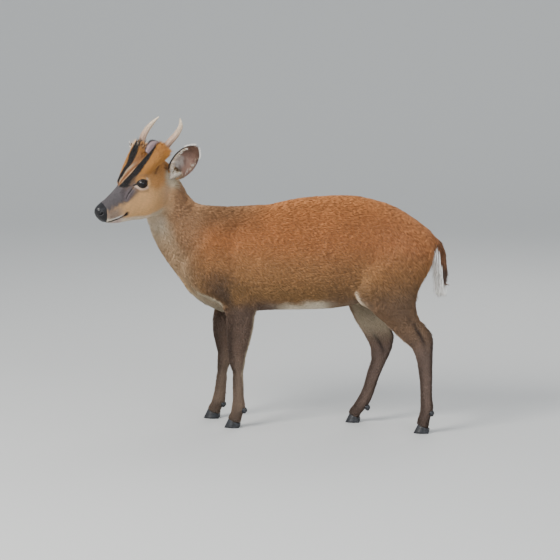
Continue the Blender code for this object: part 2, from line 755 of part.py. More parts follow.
def cut_nose_pad(head, shade):
    """Parts the bare, black nose from the muzzle by a slanting cut."""
    top = in_head(NOSE_PAD_TOP[0], 0, NOSE_PAD_TOP[1])
    bottom = in_head(NOSE_PAD_BOTTOM[0], 0, NOSE_PAD_BOTTOM[1])
    normal = LEFT.cross(top - bottom)
    if normal.dot(BACK) < 0:
        normal = -normal
    head, pad = split(head, top, normal, "head", "nose_pad")
    pad.data.materials.clear()
    pad.data.materials.append(shade)
    return head


def neck_cut_of_head():
    return in_head(*HEAD_CUT), turned_by_head(HEAD_CUT_NORMAL).normalized()


def flesh():
    """Torso, neck and legs in one skin, before it is parted."""
    pieces = [
        torso(),
        limb("neck", NECK, 1, turn=HEAD_TURN),
        head_block(),
        limb("foreleg", FORELEG_LEFT, -1),
        limb("foreleg", FORELEG_RIGHT, 1),
        limb("hindleg", HINDLEG_LEFT, -1),
        limb("hindleg", HINDLEG_RIGHT, 1),
    ]
    body = fused("torso", pieces, BODY_VOXEL)
    height = places_of(body)[:, 2]
    relax(body, np.clip((height - EASED_ABOVE) / EASED_OVER, 0, 1) * 0.5 + 0.03, BODY_EASINGS)
    height = places_of(body)[:, 2]
    on_legs = np.clip((EASED_ABOVE + EASED_OVER - height) / EASED_OVER, 0, 1)
    thinned(body, BODY_TRIANGLES, on_legs * 0.20 + 0.3)
    return body


def leg_prism(lift):
    """The space under the line where the legs part from the torso."""
    rings = []
    for y in (-LEG_CUT_HALF_WIDTH, LEG_CUT_HALF_WIDTH):
        ring = [(x, y, z + lift) for x, z in LEG_CUT]
        rings.append(ring + [(LEG_CUT[-1][0], y, LEG_CUT_FLOOR), (LEG_CUT[0][0], y, LEG_CUT_FLOOR)])
    return loft("leg_prism", rings)


def part_legs(body):
    """Four legs, each a node of its own, off the torso."""
    lower = copy_of(body, "legs")
    boolean(lower, leg_prism(-GAP / 2), "INTERSECT")
    boolean(body, leg_prism(GAP / 2), "DIFFERENCE")
    keep_largest(body)
    found = islands(lower)[:4]
    legs = []
    for island in found:
        leg = copy_of(lower, "leg")
        keep_faces(leg, island)
        legs.append((places_of(leg).mean(axis=0), leg))
    remove(lower)
    for foot, front in (("fore", True), ("hind", False)):
        for word, side in (("left", -1), ("right", 1)):
            for centre, leg in legs:
                if (centre[0] < 0.1) == front and centre[1] * side > 0:
                    leg.name = foot + "leg_" + word
    return {leg.name: leg for _, leg in legs}


def coronet(foot):
    """The slanting plane between the haired leg and the horn of the claws."""
    _, toe, heel, _ = FEET[foot]
    front = Vector((toe + CORONET_BEHIND_TOE, 0, HOOF_FRONT_HEIGHT))
    rear = Vector((heel + CORONET_BEHIND_HEEL, 0, HOOF_HEEL_HEIGHT))
    normal = (rear - front).cross(Vector((0, 1, 0))).normalized()
    return front, rear, normal if normal.z > 0 else -normal


def claw(foot, which, name, shade):
    """One half of a cloven hoof: a flat sole, a sloping wall, a blunt point in front."""
    side, toe, heel, _ = FEET[foot]
    front, rear, normal = coronet(foot)
    outline = []
    for share in np.linspace(0, 1, 9):
        bulge = math.sin(math.pi * (0.12 + 0.70 * share)) ** 0.75
        outline.append((share, HOOF_CLEFT / 2 + (HOOF_HALF_WIDTH - HOOF_CLEFT / 2) * bulge))
    for share in np.linspace(0.96, 0.02, 6):
        outline.append((share, HOOF_CLEFT / 2 + 0.0012 * abs(share - 0.5)))
    rings = []
    for level in (0.0, 0.10, 0.55, 1.0):
        ring = []
        for share, out in outline:
            low = Vector((toe + (heel - toe) * share, 0, 0))
            high = front.lerp(rear, share) - normal * GAP
            place = low.lerp(high, level)
            spread = 1 - 0.14 * level - 0.05 * (level == 0)
            place.y = side * FOOT_OUT + which * out * (spread if out > HOOF_CLEFT else 1)
            ring.append(place)
        rings.append(ring)
    return loft(name, rings, shade)


def dewclaw(foot, which, name, shade):
    side, _, _, (x, z) = FEET[foot]
    down = Vector(DEWCLAW_POINTS).normalized()
    axes = (down.cross(Vector((0, 1, 0))), Vector((0, 1, 0)), down)
    centre = Vector((x, side * FOOT_OUT + which * DEWCLAW_OUT, z))
    return ball(name, centre, DEWCLAW_RADII, axes, rings=6, sides=10, shade=shade)


def head_with_neck():
    """Skull, brow, orbits and pedicles in one skin with the top of the neck, then its fine cuts."""
    pieces = [head_block(), limb("neck", NECK, 1, turn=HEAD_TURN)]
    for side in (1, -1):
        pieces += [pedicle(side), orbit(side)]
    head = fused("head", pieces, HEAD_VOXEL)
    point, normal = neck_cut_of_head()
    inwards = (places_of(head) - np.array(point)) @ np.array(normal)
    behind = (places_of(head) - np.array(NOSE_TIP)) @ np.array(BACK)
    share = np.clip((0.060 - inwards) / 0.055, 0, 1) * 0.26 + np.clip((behind - 0.03) / 0.05, 0, 1) * 0.20
    relax(head, share + 0.04, HEAD_EASINGS)
    places = places_of(head)
    to_eye = np.full(len(places), 1.0)
    for side in (1, -1):
        eye = np.array(in_head(*mirrored(EYE_CENTRE, side)))
        to_eye = np.minimum(to_eye, np.linalg.norm(places - eye, axis=1) - EYE_RADIUS)
    behind = (places - np.array(NOSE_TIP)) @ np.array(BACK)
    inwards = (places - np.array(point)) @ np.array(normal)
    on_muzzle = np.clip((0.085 - behind) / 0.06, 0, 1) * 0.42
    round_eye = np.clip(1 - to_eye / 0.016, 0, 1) * 0.75
    near_cut = 0.3 * (inwards > -0.006)
    thinned(head, HEAD_TRIANGLES, np.maximum.reduce([on_muzzle, round_eye, near_cut]))
    cut_side(head, point, normal)
    keep_largest(head)
    return head


def carve_head(head):
    for side in (1, -1):
        boolean(head, eye_socket(side), "DIFFERENCE")
        boolean(head, lid_cutter(side), "DIFFERENCE")
        boolean(head, nostril_cutter(side), "DIFFERENCE")
        boolean(head, antler_seat(side), "DIFFERENCE")
    boolean(head, mouth_cutter(), "DIFFERENCE")
    keep_largest(head)


def antler_start(side):
    base = in_head(*mirrored(ANTLER[0][:3], side))
    ahead = in_head(*mirrored(ANTLER[1][:3], side))
    return base, (ahead - base).normalized()


def antler_seat(side):
    """A drum that flattens the top of the pedicle a gap below the antler's burr."""
    base, way = antler_start(side)
    path = [(*(base - way * GAP), SEAT_RADIUS), (*(base + way * SEAT_LENGTH), SEAT_RADIUS)]
    return tube("seat", path, sides=16, steps=1)


def antler(side, name, shade):
    base, way = antler_start(side)
    path = [
        (*base, BURR_RADIUS * 0.92),
        (*(base + way * BURR_HEIGHT * 0.45), BURR_RADIUS),
        (*(base + way * BURR_HEIGHT), ANTLER[0][3] * 1.04),
    ]
    path += [(*in_head(s, left * side, up), radius) for s, left, up, radius in ANTLER[1:]]
    return tube(name, path, sides=12, steps=2, shade=shade)


def ear(side, points, name, shade):
    """A cupped leaf of skin with a wall all round, nearly a closed tube where it grows from the head."""
    root = in_head(*mirrored(EAR_ROOT, side))
    way = turned_by_head((points[0], points[1] * side, points[2])).normalized()
    opens = turned_by_head((EAR_OPENS.x, EAR_OPENS.y * side, EAR_OPENS.z))
    opens = (opens - way * opens.dot(way)).normalized()
    across = way.cross(opens) * side
    rows = np.array(EAR_PROFILE)
    outer, inner = [], []
    columns = 11
    for share, half, spread in spline(rows[:, 0], rows, np.linspace(0, 1, 12)):
        radius = half / math.sin(min(spread, math.pi / 2))
        centre = root + way * share * EAR_LENGTH + opens * (radius - EAR_ROOT_SUNK * (1 - share) ** 0.6)
        wall = min(EAR_WALL, radius * 0.4)
        for angle in np.linspace(-spread, spread, columns):
            out = across * math.sin(angle) - opens * math.cos(angle)
            rim = 1 - 0.55 * (abs(angle) / spread) ** 3
            outer.append(centre + out * radius)
            inner.append(centre + out * (radius - wall * rim))
    lines = len(outer) // columns
    count = len(outer)
    faces = []
    for i in range(lines - 1):
        for j in range(columns - 1):
            a, b = i * columns + j, i * columns + j + 1
            c, d = b + columns, a + columns
            faces += [(a, b, c, d), (a + count, d + count, c + count, b + count)]
        for a in (i * columns, i * columns + columns - 1):
            faces.append((a, a + columns, a + columns + count, a + count))
    for i in (0, (lines - 1) * columns):
        for j in range(columns - 1):
            a, b = i + j, i + j + 1
            faces.append((a, b, b + count, a + count))
    return add_object(name, outer + inner, faces, shade)


def lock(root, way, droop, side, length, width):
    """A flat tapered strand that bends towards droop, rooted below the surface it grows from."""
    rings = []
    for share in (0.0, 0.3, 0.6, 0.85, 1.0):
        centre = root + way * length * share + droop * length * share * share * 0.5
        half = width * (0.75 + 0.25 * math.sin(math.pi * share)) * (1 - share) ** 0.6 / 2 + LOCK_LEAST
        ahead = (way + droop * share).normalized()
        flat = (side - ahead * side.dot(ahead)).normalized()
        up = ahead.cross(flat) * (half * 0.35 + LOCK_LEAST)
        rings.append([centre + flat * half, centre + up, centre - flat * half, centre - up])
    return loft("lock", rings)


def tail(shade):
    """A round dock with a fringe of flat locks on its underside and at its tip."""
    body = limb("tail", TAIL, 1, steps=3, sides=14)
    rows = np.array(TAIL)
    places = np.linspace(0, 1, len(rows))
    locks = []
    down = Vector((0, 0, -1))
    for i in range(TAIL_LOCKS):
        share = TAIL_LOCKS_FROM + (TAIL_LOCKS_TO - TAIL_LOCKS_FROM) * (i // 2) / (TAIL_LOCKS // 2 - 1)
        front_x, front_z, rear_x, rear_z, _, half = spline(places, rows, [share])[0]
        y = half * 0.42 * (1 if i % 2 else -1)
        back_share = 0.30 if i % 4 < 2 else 0.55
        root = Vector((
            front_x + (rear_x - front_x) * back_share,
            y,
            front_z + (rear_z - front_z) * back_share + TAIL_LOCK_RAISED,
        ))
        way = (down + Vector((-0.12 + 0.10 * share, 0.10 * (1 if y > 0 else -1), 0))).normalized()
        length = TAIL_LOCK_LENGTH * (0.8 + 0.2 * (i % 3) / 2)
        locks.append(lock(root, way, Vector((0.12, 0, 0)), Vector((0.25, 1, 0)), length, TAIL_LOCK_WIDTH))
    joined(body, locks)
    body.data.materials.clear()
    body.data.materials.append(shade)
    return body


def stand_on_origin():
    """Moves every node so that the middle of the whole model's floor plan is the origin."""
    nodes = [o for o in bpy.data.objects if o.type == "MESH"]
    places = np.vstack([places_of(o) for o in nodes])
    low, high = places.min(axis=0), places.max(axis=0)
    move = Matrix.Translation((-(low[0] + high[0]) / 2, -(low[1] + high[1]) / 2, -low[2]))
    for node in nodes:
        node.data.transform(move)


def main():
    clear_scene()
    coat = material("coat", (0.42, 0.17, 0.06), 0.85)
    horn = material("hoof_horn", (0.05, 0.05, 0.06), 0.45)
    bone = material("antler_bone", (0.62, 0.48, 0.34), 0.5)
    glass = material("eye_glass", (0.01, 0.008, 0.006), 0.08)
    bare = material("nose_skin", (0.012, 0.012, 0.014), 0.35)

    rest = flesh()
    point, normal = neck_cut_of_head()
    cut_side(rest, point, -normal)
    keep_largest(rest)
    neck, rest = split(rest, NECK_CUT, NECK_CUT_NORMAL, "neck", "torso")
    legs = part_legs(rest)
    for foot in FEET:
        leg = legs[foot.replace("_", "leg_")]
        front, _, up = coronet(foot)
        cut_side(leg, front, up)
        keep_largest(leg)
        for which, word in ((FEET[foot][0], "outer"), (-FEET[foot][0], "inner")):
            claw(foot, which, "hoof_" + foot + "_" + word, horn)
            cleared(dewclaw(foot, which, "dewclaw_" + foot + "_" + word, horn), leg)

    head = head_with_neck()
    carve_head(head)
    head = cut_nose_pad(head, bare)
    for side, word, points in ((1, "left", EAR_POINTS_LEFT), (-1, "right", EAR_POINTS_RIGHT)):
        centre = in_head(*mirrored(EYE_CENTRE, side))
        ball("eye_" + word, centre, (EYE_RADIUS,) * 3, (BACK, LEFT, CROWN), rings=10, sides=16, shade=glass)
        antler(side, "antler_" + word, bone)
        grown = ear(side, points, "ear_" + word, coat)
        cleared(grown, head)
        cleared(grown, neck)
    cleared(tail(coat), rest)

    for node in [neck, rest, head, *legs.values()]:
        node.data.materials.clear()
        node.data.materials.append(coat)
    stand_on_origin()


main()
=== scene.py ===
import math

import bmesh
import bpy
import numpy as np
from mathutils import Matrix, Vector
from mathutils.bvhtree import BVHTree


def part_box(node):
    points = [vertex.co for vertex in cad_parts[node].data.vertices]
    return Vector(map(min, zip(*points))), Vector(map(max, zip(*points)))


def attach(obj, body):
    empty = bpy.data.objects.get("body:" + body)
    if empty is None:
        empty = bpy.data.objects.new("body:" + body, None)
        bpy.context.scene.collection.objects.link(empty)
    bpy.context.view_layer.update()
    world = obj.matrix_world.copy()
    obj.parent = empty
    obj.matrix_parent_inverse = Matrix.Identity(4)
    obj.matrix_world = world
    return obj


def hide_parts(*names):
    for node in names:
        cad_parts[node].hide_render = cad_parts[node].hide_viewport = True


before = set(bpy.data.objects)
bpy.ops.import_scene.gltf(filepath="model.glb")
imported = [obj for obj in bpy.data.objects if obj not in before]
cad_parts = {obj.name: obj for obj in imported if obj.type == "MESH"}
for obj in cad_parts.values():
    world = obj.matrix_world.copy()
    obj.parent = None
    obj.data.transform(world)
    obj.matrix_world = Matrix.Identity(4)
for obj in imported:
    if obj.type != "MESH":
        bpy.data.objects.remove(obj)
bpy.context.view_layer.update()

# The skin. A still model's skin is one hide drawn over the whole form, with no seam to see. Body,
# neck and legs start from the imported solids; skull, pedicles, ears and dock are lofted again,
# finer, and everything is fused, eased and sunk below the tips of the hair.
SKIN_GRID = 0.00135
GAP_REACH = 0.0006
FLESH = ["torso", "neck", "head", "foreleg_left", "foreleg_right", "hindleg_left", "hindleg_right"]

# The head's own frame: the muntjac turns its head to its left and drops its nose a little,
# so every place on the face is given as a distance behind the nose tip, out to the left,
# and up towards the crown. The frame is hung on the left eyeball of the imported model.
HEAD_TURN = math.radians(50)
HEAD_DROP = math.radians(20.3)
BACK = Vector((
    math.cos(HEAD_DROP) * math.cos(HEAD_TURN),
    math.cos(HEAD_DROP) * math.sin(HEAD_TURN),
    math.sin(HEAD_DROP),
))
LEFT = Vector((math.sin(HEAD_TURN), -math.cos(HEAD_TURN), 0))
CROWN = LEFT.cross(BACK)
HEAD_AXES = np.array([BACK, LEFT, CROWN])
EYE_CENTRE = (0.1290, 0.0305, 0.0215)
EYE_RADIUS = 0.0132
eye_low, eye_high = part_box("eye_left")
NOSE_TIP = (eye_low + eye_high) / 2 - (
    BACK * EYE_CENTRE[0] + LEFT * EYE_CENTRE[1] + CROWN * EYE_CENTRE[2]
)
STANDING_AT = Vector((-0.3834, -0.1765, 0.5302))
SHIFT = np.array(NOSE_TIP - STANDING_AT)


def in_head(back, left, up):
    return NOSE_TIP + BACK * back + LEFT * left + CROWN * up


def head_way(way, side=1):
    return (BACK * way[0] + LEFT * way[1] * side + CROWN * way[2]).normalized()


def on_side(place, side):
    return (place[0], place[1] * side, place[2])


# The skull: distance behind the nose tip, top, bottom and half width.
HEAD = np.array([
    (0.0000, 0.0050, -0.0110, 0.0065),
    (0.0025, 0.0092, -0.0170, 0.0106),
    (0.0080, 0.0130, -0.0255, 0.0140),
    (0.0180, 0.0160, -0.0335, 0.0160),
    (0.0350, 0.0196, -0.0432, 0.0172),
    (0.0550, 0.0248, -0.0505, 0.0192),
    (0.0750, 0.0308, -0.0560, 0.0226),
    (0.0950, 0.0376, -0.0620, 0.0282),
    (0.1150, 0.0446, -0.0695, 0.0342),
    (0.1350, 0.0510, -0.0735, 0.0392),
    (0.1550, 0.0555, -0.0750, 0.0415),
    (0.1750, 0.0575, -0.0725, 0.0415),
    (0.1950, 0.0565, -0.0680, 0.0400),
    (0.2150, 0.0500, -0.0590, 0.0360),
    (0.2320, 0.0330, -0.0440, 0.0260),
    (0.2420, 0.0100, -0.0220, 0.0120),
])
HEAD_RINGS, HEAD_SIDES, HEAD_SQUARENESS = 130, 96, 2.25
ORBIT_CENTRE = (0.1300, 0.0262, 0.0235)
ORBIT_RADII = (0.0235, 0.0192, 0.0195)
ORBIT_RINGS, ORBIT_SIDES = 30, 48
PEDICLE = [
    (0.0980, 0.0150, 0.0305, 0.0090),
    (0.1220, 0.0200, 0.0400, 0.0132),
    (0.1460, 0.0262, 0.0490, 0.0172),
    (0.1720, 0.0325, 0.0595, 0.0203),
    (0.1940, 0.0385, 0.0685, 0.0210),
    (0.2085, 0.0425, 0.0760, 0.0200),
]
PEDICLE_SIDES, PEDICLE_STEPS = 40, 8
EAR_ROOT = (0.2160, 0.0320, 0.0005)
EAR_POINTS = {1: (0.300, 0.745, 0.595), -1: (0.200, 0.800, 0.565)}
EAR_OPENS = (-0.72, 0.62, 0.10)
EAR_LENGTH = 0.1185
EAR_WALL = 0.0031
EAR_COLUMNS, EAR_LINES = 29, 44
EAR_PROFILE = np.array([
    (0.00, 0.0110, 2.60),
    (0.12, 0.0150, 2.30),
    (0.25, 0.0215, 1.85),
    (0.40, 0.0268, 1.45),
    (0.55, 0.0288, 1.20),
    (0.70, 0.0268, 1.00),
    (0.84, 0.0208, 0.85),
    (0.94, 0.0118, 0.75),
    (1.00, 0.0022, 0.70),
])
DOCK_RINGS, DOCK_SIDES = 26, 24
TAIL = np.array([
    (0.3700, 0.458, 0.3920, 0.478, 0.0115),
    (0.4000, 0.440, 0.4175, 0.455, 0.0110),
    (0.4075, 0.418, 0.4285, 0.429, 0.0100),
    (0.4100, 0.396, 0.4325, 0.399, 0.0088),
    (0.4130, 0.372, 0.4305, 0.371, 0.0070),
    (0.4180, 0.350, 0.4255, 0.350, 0.0035),
])


def linked(name, data):
    """A new object with this mesh, camera or light, standing in the scene."""
    obj = bpy.data.objects.new(name, data)
    bpy.context.scene.collection.objects.link(obj)
    return obj


def smooth(mesh):
    mesh.polygons.foreach_set("use_smooth", [True] * len(mesh.polygons))


def new_object(name, points, faces):
    mesh = bpy.data.meshes.new(name)
    mesh.from_pydata([tuple(p) for p in points], [], faces)
    bm = bmesh.new()
    bm.from_mesh(mesh)
    bmesh.ops.recalc_face_normals(bm, faces=bm.faces)
    bm.to_mesh(mesh)
    bm.free()
    smooth(mesh)
    return linked(name, mesh)


def spline(places, rows, wanted):
    """Rows read at the wanted places from a smooth monotone cubic through each column."""
    places, rows = np.asarray(places, float), np.asarray(rows, float)
    step = np.diff(places)[:, None]
    slope = np.diff(rows, axis=0) / step
    weight = step[1:] + 2 * step[:-1], 2 * step[1:] + step[:-1]
    with np.errstate(divide="ignore", invalid="ignore"):
        middle = sum(weight) / (weight[1] / slope[:-1] + weight[0] / slope[1:])
    middle = np.where(slope[:-1] * slope[1:] > 0, middle, 0)
    tangent = np.vstack([slope[:1], middle, slope[-1:]])
    k = np.clip(np.searchsorted(places, wanted, side="right") - 1, 0, len(places) - 2)
    h = step[k]
    t = ((np.asarray(wanted) - places[k])[:, None]) / h
    return (
        rows[k] * (1 + 2 * t) * (1 - t) ** 2
        + tangent[k] * h * t * (1 - t) ** 2
        + rows[k + 1] * t**2 * (3 - 2 * t)
        + tangent[k + 1] * h * t**2 * (t - 1)
    )


def ring(high, low, side, sides, power=2.0):
    """Points round an oval from its high point past its low point, side being its half width."""
    angle = np.linspace(0, 2 * math.pi, sides, endpoint=False)
    c, s = np.cos(angle), np.sin(angle)
    along = np.sign(c) * np.abs(c) ** (2 / power)
    across = np.sign(s) * np.abs(s) ** (2 / power)
    high, low, side = (np.asarray(v, float) for v in (high, low, side))
    return (high + low) / 2 + along[:, None] * (high - low) / 2 + across[:, None] * side


def loft(name, rings):
    """A closed skin over rings of equal count, its ends closed by fans."""
    rings = np.asarray(rings, float)
    count, sides = rings.shape[:2]
    points, faces = list(rings.reshape(-1, 3)), []
    for i in range(count - 1):
        for j in range(sides):
            a, b = i * sides + j, i * sides + (j + 1) % sides
            faces.append((a, b, b + sides, a + sides))
    for i in (0, count - 1):
        points.append(rings[i].mean(axis=0))
        faces += [
            (i * sides + j, i * sides + (j + 1) % sides, len(points) - 1) for j in range(sides)
        ]
    return new_object(name, points, faces)


def head_block():
    rings = []
    wanted = HEAD[-1, 0] * np.linspace(0, 1, HEAD_RINGS) ** 1.3
    for back, top, bottom, half in spline(HEAD[:, 0], HEAD, wanted):
        high, low = in_head(back, 0, top), in_head(back, 0, bottom)
        rings.append(ring(high, low, LEFT * half, HEAD_SIDES, HEAD_SQUARENESS))
    return loft("head_block", rings)


def square_to(way, wanted):
    """The direction square to way that is nearest to the wanted one."""
    return (wanted - way * wanted.dot(way)).normalized()


def lengths_along(path):
    steps = np.linalg.norm(np.diff(path[:, :3], axis=0), axis=1)
    return np.concatenate([[0], np.cumsum(steps)])


def tube(name, path, sides, steps):
    """A round tube through rows of x, y, z and radius, with rings square to its path."""
    path = np.asarray(path, float)
    places = lengths_along(path)
    rows = spline(places, path, np.linspace(0, places[-1], steps * (len(path) - 1) + 1))
    rings, side = [], Vector((0.3, 1.0, 0.2))
    for row, way in zip(rows, np.gradient(rows[:, :3], axis=0)):
        way = Vector(way).normalized()
        side = square_to(way, side)
        up = way.cross(side) * row[3]
        centre = Vector(row[:3])
        rings.append(ring(centre + up, centre - up, side * row[3], sides))
    return loft(name, rings)


def pedicle(side):
    path = [(*in_head(back, left * side, up), r) for back, left, up, r in PEDICLE]
    ahead = (Vector(path[-1][:3]) - Vector(path[-2][:3])).normalized()
    path.append((*(Vector(path[-1][:3]) + ahead * 0.0045), PEDICLE[-1][3] * 0.92))
    path.append((*(Vector(path[-1][:3]) + ahead * 0.0040), PEDICLE[-1][3] * 0.62))
    return tube("pedicle", path, PEDICLE_SIDES, PEDICLE_STEPS)


def orbit(side):
    rings = []
    for polar in np.linspace(0.02, math.pi - 0.02, ORBIT_RINGS):
        centre = in_head(*on_side(ORBIT_CENTRE, side)) + CROWN * ORBIT_RADII[2] * math.cos(polar)
        size = math.sin(polar)
        half_length, half_width = BACK * ORBIT_RADII[0] * size, LEFT * ORBIT_RADII[1] * size
        rings.append(ring(centre + half_length, centre - half_length, half_width, ORBIT_SIDES))
    return loft("orbit", rings)


def ear_frame(side):
    root = in_head(*on_side(EAR_ROOT, side))
    way = head_way(EAR_POINTS[side], side)
    opens = head_way(EAR_OPENS, side)
    opens = square_to(way, opens)
    return root, way, opens, way.cross(opens) * side


def ear_rows(shares):
    """Share, half width and half angle of the leaf at shares of its length."""
    return spline(EAR_PROFILE[:, 0], EAR_PROFILE, shares)


def ear_arc(share, half, spread, root, way, opens):
    """Radius and centre of the arc that the leaf follows across, at a share of its length."""
    radius = half / math.sin(min(spread, math.pi / 2))
    return radius, root + way * share * EAR_LENGTH + opens * (radius - 0.011 * (1 - share) ** 0.6)


def ear(side):
    root, way, opens, across = ear_frame(side)
    outer, inner, columns, lines = [], [], EAR_COLUMNS, EAR_LINES
    for share, half, spread in ear_rows(np.linspace(0, 1, lines)):
        radius, centre = ear_arc(share, half, spread, root, way, opens)
        wall = min(EAR_WALL, radius * 0.45)
        for angle in np.linspace(-spread, spread, columns):
            out = across * math.sin(angle) - opens * math.cos(angle)
            rim = 1 - 0.25 * (abs(angle) / spread) ** 3
            outer.append(centre + out * (radius + 0.0004))
            inner.append(centre + out * (radius + 0.0004 - wall * rim))
    count, faces = len(outer), []
    for i in range(lines - 1):
        for j in range(columns - 1):
            a = i * columns + j
            b, c, d = a + 1, a + 1 + columns, a + columns
            faces += [(a, b, c, d), (a + count, d + count, c + count, b + count)]
        for a in (i * columns, i * columns + columns - 1):
            faces.append((a, a + columns, a + columns + count, a + count))
    for i in (0, (lines - 1) * columns):
        for j in range(columns - 1):
            a = i + j
            faces.append((a, a + 1, a + 1 + count, a + count))
    return new_object("ear", outer + inner, faces)


def dock_rows(shares):
    """Front x and z, rear x and z and half width of the dock at shares of its length."""
    return spline(np.linspace(0, 1, len(TAIL)), TAIL, shares)


def dock():
    rings = []
    for front_x, front_z, rear_x, rear_z, half in dock_rows(np.linspace(0, 1, DOCK_RINGS)):
        front = np.array((front_x, 0, front_z)) + SHIFT
        rear = np.array((rear_x, 0, rear_z)) + SHIFT
        rings.append(ring(front, rear, np.array((0, half, 0)), DOCK_SIDES))
    return loft("dock", rings)


def welded(name):
    """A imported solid's triangles, joined at their corners."""
    bm = bmesh.new()
    bm.from_mesh(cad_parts[name].data)
    bmesh.ops.remove_doubles(bm, verts=bm.verts, dist=1e-6)
    return bm


def mesh_from(bm, name):
    mesh = bpy.data.meshes.new(name)
    bm.to_mesh(mesh)
    bm.free()
    return mesh


def flesh_copy(name, others):
    """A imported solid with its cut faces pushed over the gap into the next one."""
    bm = welded(name)
    for vertex in bm.verts:
        for other in others:
            found = other.find_nearest(vertex.co, GAP_REACH)
            if found[0] is not None and (found[0] - vertex.co).length > 1e-5:
                vertex.co += (found[0] - vertex.co).normalized() * GAP_REACH * 1.6
                break
    return linked(name + "_flesh", mesh_from(bm, name + "_flesh"))


def applied(obj):
    """The object with its modifiers turned into plain mesh."""
    depsgraph = bpy.context.evaluated_depsgraph_get()
    mesh = bpy.data.meshes.new_from_object(obj.evaluated_get(depsgraph))
    obj.modifiers.clear()
    old = obj.data
    obj.data = mesh
    bpy.data.meshes.remove(old)
    return obj


trees = {}
for node in FLESH:
    tree_bm = bmesh.new()
    tree_bm.from_mesh(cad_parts[node].data)
    trees[node] = BVHTree.FromBMesh(tree_bm)
    tree_bm.free()
parts = [flesh_copy(n, [t for m, t in trees.items() if m != n]) for n in FLESH]
parts += [head_block(), dock()]
for ear_side in (1, -1):
    parts += [pedicle(ear_side), orbit(ear_side), ear(ear_side)]
with bpy.context.temp_override(
    active_object=parts[0], selected_objects=parts, selected_editable_objects=parts
):
    bpy.ops.object.join()
skin = parts[0]
skin.name = skin.data.name = "muntjac_skin"
remesh = skin.modifiers.new("fuse", "REMESH")
remesh.mode = "VOXEL"
remesh.voxel_size = SKIN_GRID
applied(skin)


def head_places(points):
    return (points - np.array(NOSE_TIP)) @ HEAD_AXES.T


def ear_places(points, side):
    """Share of the ear's length, and places across it and towards its opening, in metres."""
    root, way, opens, across = ear_frame(side)
    offset = points - np.array(root)
    return (
        offset @ np.array(way) / EAR_LENGTH,
        offset @ np.array(across),
        offset @ np.array(opens),
    )


def fade(value, start, end):
    """Runs smoothly from 0 at start to 1 at end."""
    t = np.clip((value - start) / (end - start), 0, 1)
    return t * t * (3 - 2 * t)


def in_leaf(share, across, towards):
    """Which places lie in the box that holds an ear's leaf and nothing else."""
    return (share < 1.1) * (np.abs(across) < 0.036) * (towards > -0.018) * (towards < 0.040)


def on_ear(points):
    """How much each point belongs to an ear's free leaf."""
    found = np.zeros(len(points))
    for side in (1, -1):
        share, across, towards = ear_places(points, side)
        found = np.maximum(found, fade(share, 0.17, 0.27) * in_leaf(share, across, towards))
    return found


# The slanting plane where the head meets the neck: a place on it, and the way it faces, both as
# distance behind the nose tip and height.
HEAD_END = (0.168, -0.075)
HEAD_END_FACES = (-0.8247, 0.5655)


def on_head(points):
    """How much each point lies before the plane where the head meets the neck."""
    h = head_places(points)
    before = (h[:, 0] - HEAD_END[0]) * HEAD_END_FACES[0] + (h[:, 2] - HEAD_END[1]) * HEAD_END_FACES[1]
    return fade(before, -0.012, 0.020)


def keep_largest(mesh):
    bm = bmesh.new()
    bm.from_mesh(mesh)
    bm.verts.ensure_lookup_table()
    group = np.full(len(bm.verts), -1)
    sizes = []
    for start in bm.verts:
        if group[start.index] >= 0:
            continue
        stack, mark, size = [start], len(sizes), 0
        group[start.index] = mark
        while stack:
            vertex = stack.pop()
            size += 1
            for edge in vertex.link_edges:
                other = edge.other_vert(vertex)
                if group[other.index] < 0:
                    group[other.index] = mark
                    stack.append(other)
        sizes.append(size)
    if len(sizes) > 1:
        keep = int(np.argmax(sizes))
        lost = [v for v in bm.verts if group[v.index] != keep]
        bmesh.ops.delete(bm, geom=lost, context="VERTS")
        bm.to_mesh(mesh)
    bm.free()


def places_of(mesh):
    points = np.empty(len(mesh.vertices) * 3)
    mesh.vertices.foreach_get("co", points)
    return points.reshape(-1, 3)


def put_places(mesh, points):
    mesh.vertices.foreach_set("co", np.ascontiguousarray(points).ravel())
    mesh.update()


def edges_of(mesh):
    edges = np.empty(len(mesh.edges) * 2, np.int64)
    mesh.edges.foreach_get("vertices", edges)
    return edges.reshape(-1, 2).T


def eased(mesh, points, share, rounds):
    """Points drawn towards the middle of their neighbours, each by its own share."""
    a, b = edges_of(mesh)
    degree = np.bincount(np.concatenate([a, b]), minlength=len(points))[:, None]
    for _ in range(rounds):
        total = np.zeros_like(points)
        for column in range(3):
            total[:, column] = np.bincount(a, points[b, column], len(points))
            total[:, column] += np.bincount(b, points[a, column], len(points))
        points = points + (total / degree - points) * share[:, None]
    return points


keep_largest(skin.data)
points = places_of(skin.data)
head_share, leaf_share = on_head(points), on_ear(points)
behind = head_places(points)[:, 0]
design = points - SHIFT
leg_share = fade(design[:, 2], 0.27, 0.20)
ease = 0.42 * (1 - head_share) * (1 - 0.75 * leg_share)
ease = ease + head_share * (0.05 + 0.27 * fade(behind, 0.03, 0.08))
ease = np.where(leaf_share > 0, 0.10, ease)
evened = eased(skin.data, points, ease, 80)
# Only the facets are evened out: the form that shrank with them is given back.
drift = eased(skin.data, evened - points, np.full(len(points), 0.5), 70)
points = evened - drift * (1 - head_share)[:, None]
put_places(skin.data, points)

# The coat's depth: how far the skin lies below the tips of the hair, from bare lids to rump.
DEPTH_BODY = 0.0030
DEPTH_LEG = 0.0006
DEPTH_FACE = 0.0012
DEPTH_EAR = 0.0006


def normals_of(mesh):
    normals = np.empty(len(mesh.vertices) * 3)
    mesh.vertex_normals.foreach_get("vector", normals)
    return normals.reshape(-1, 3)


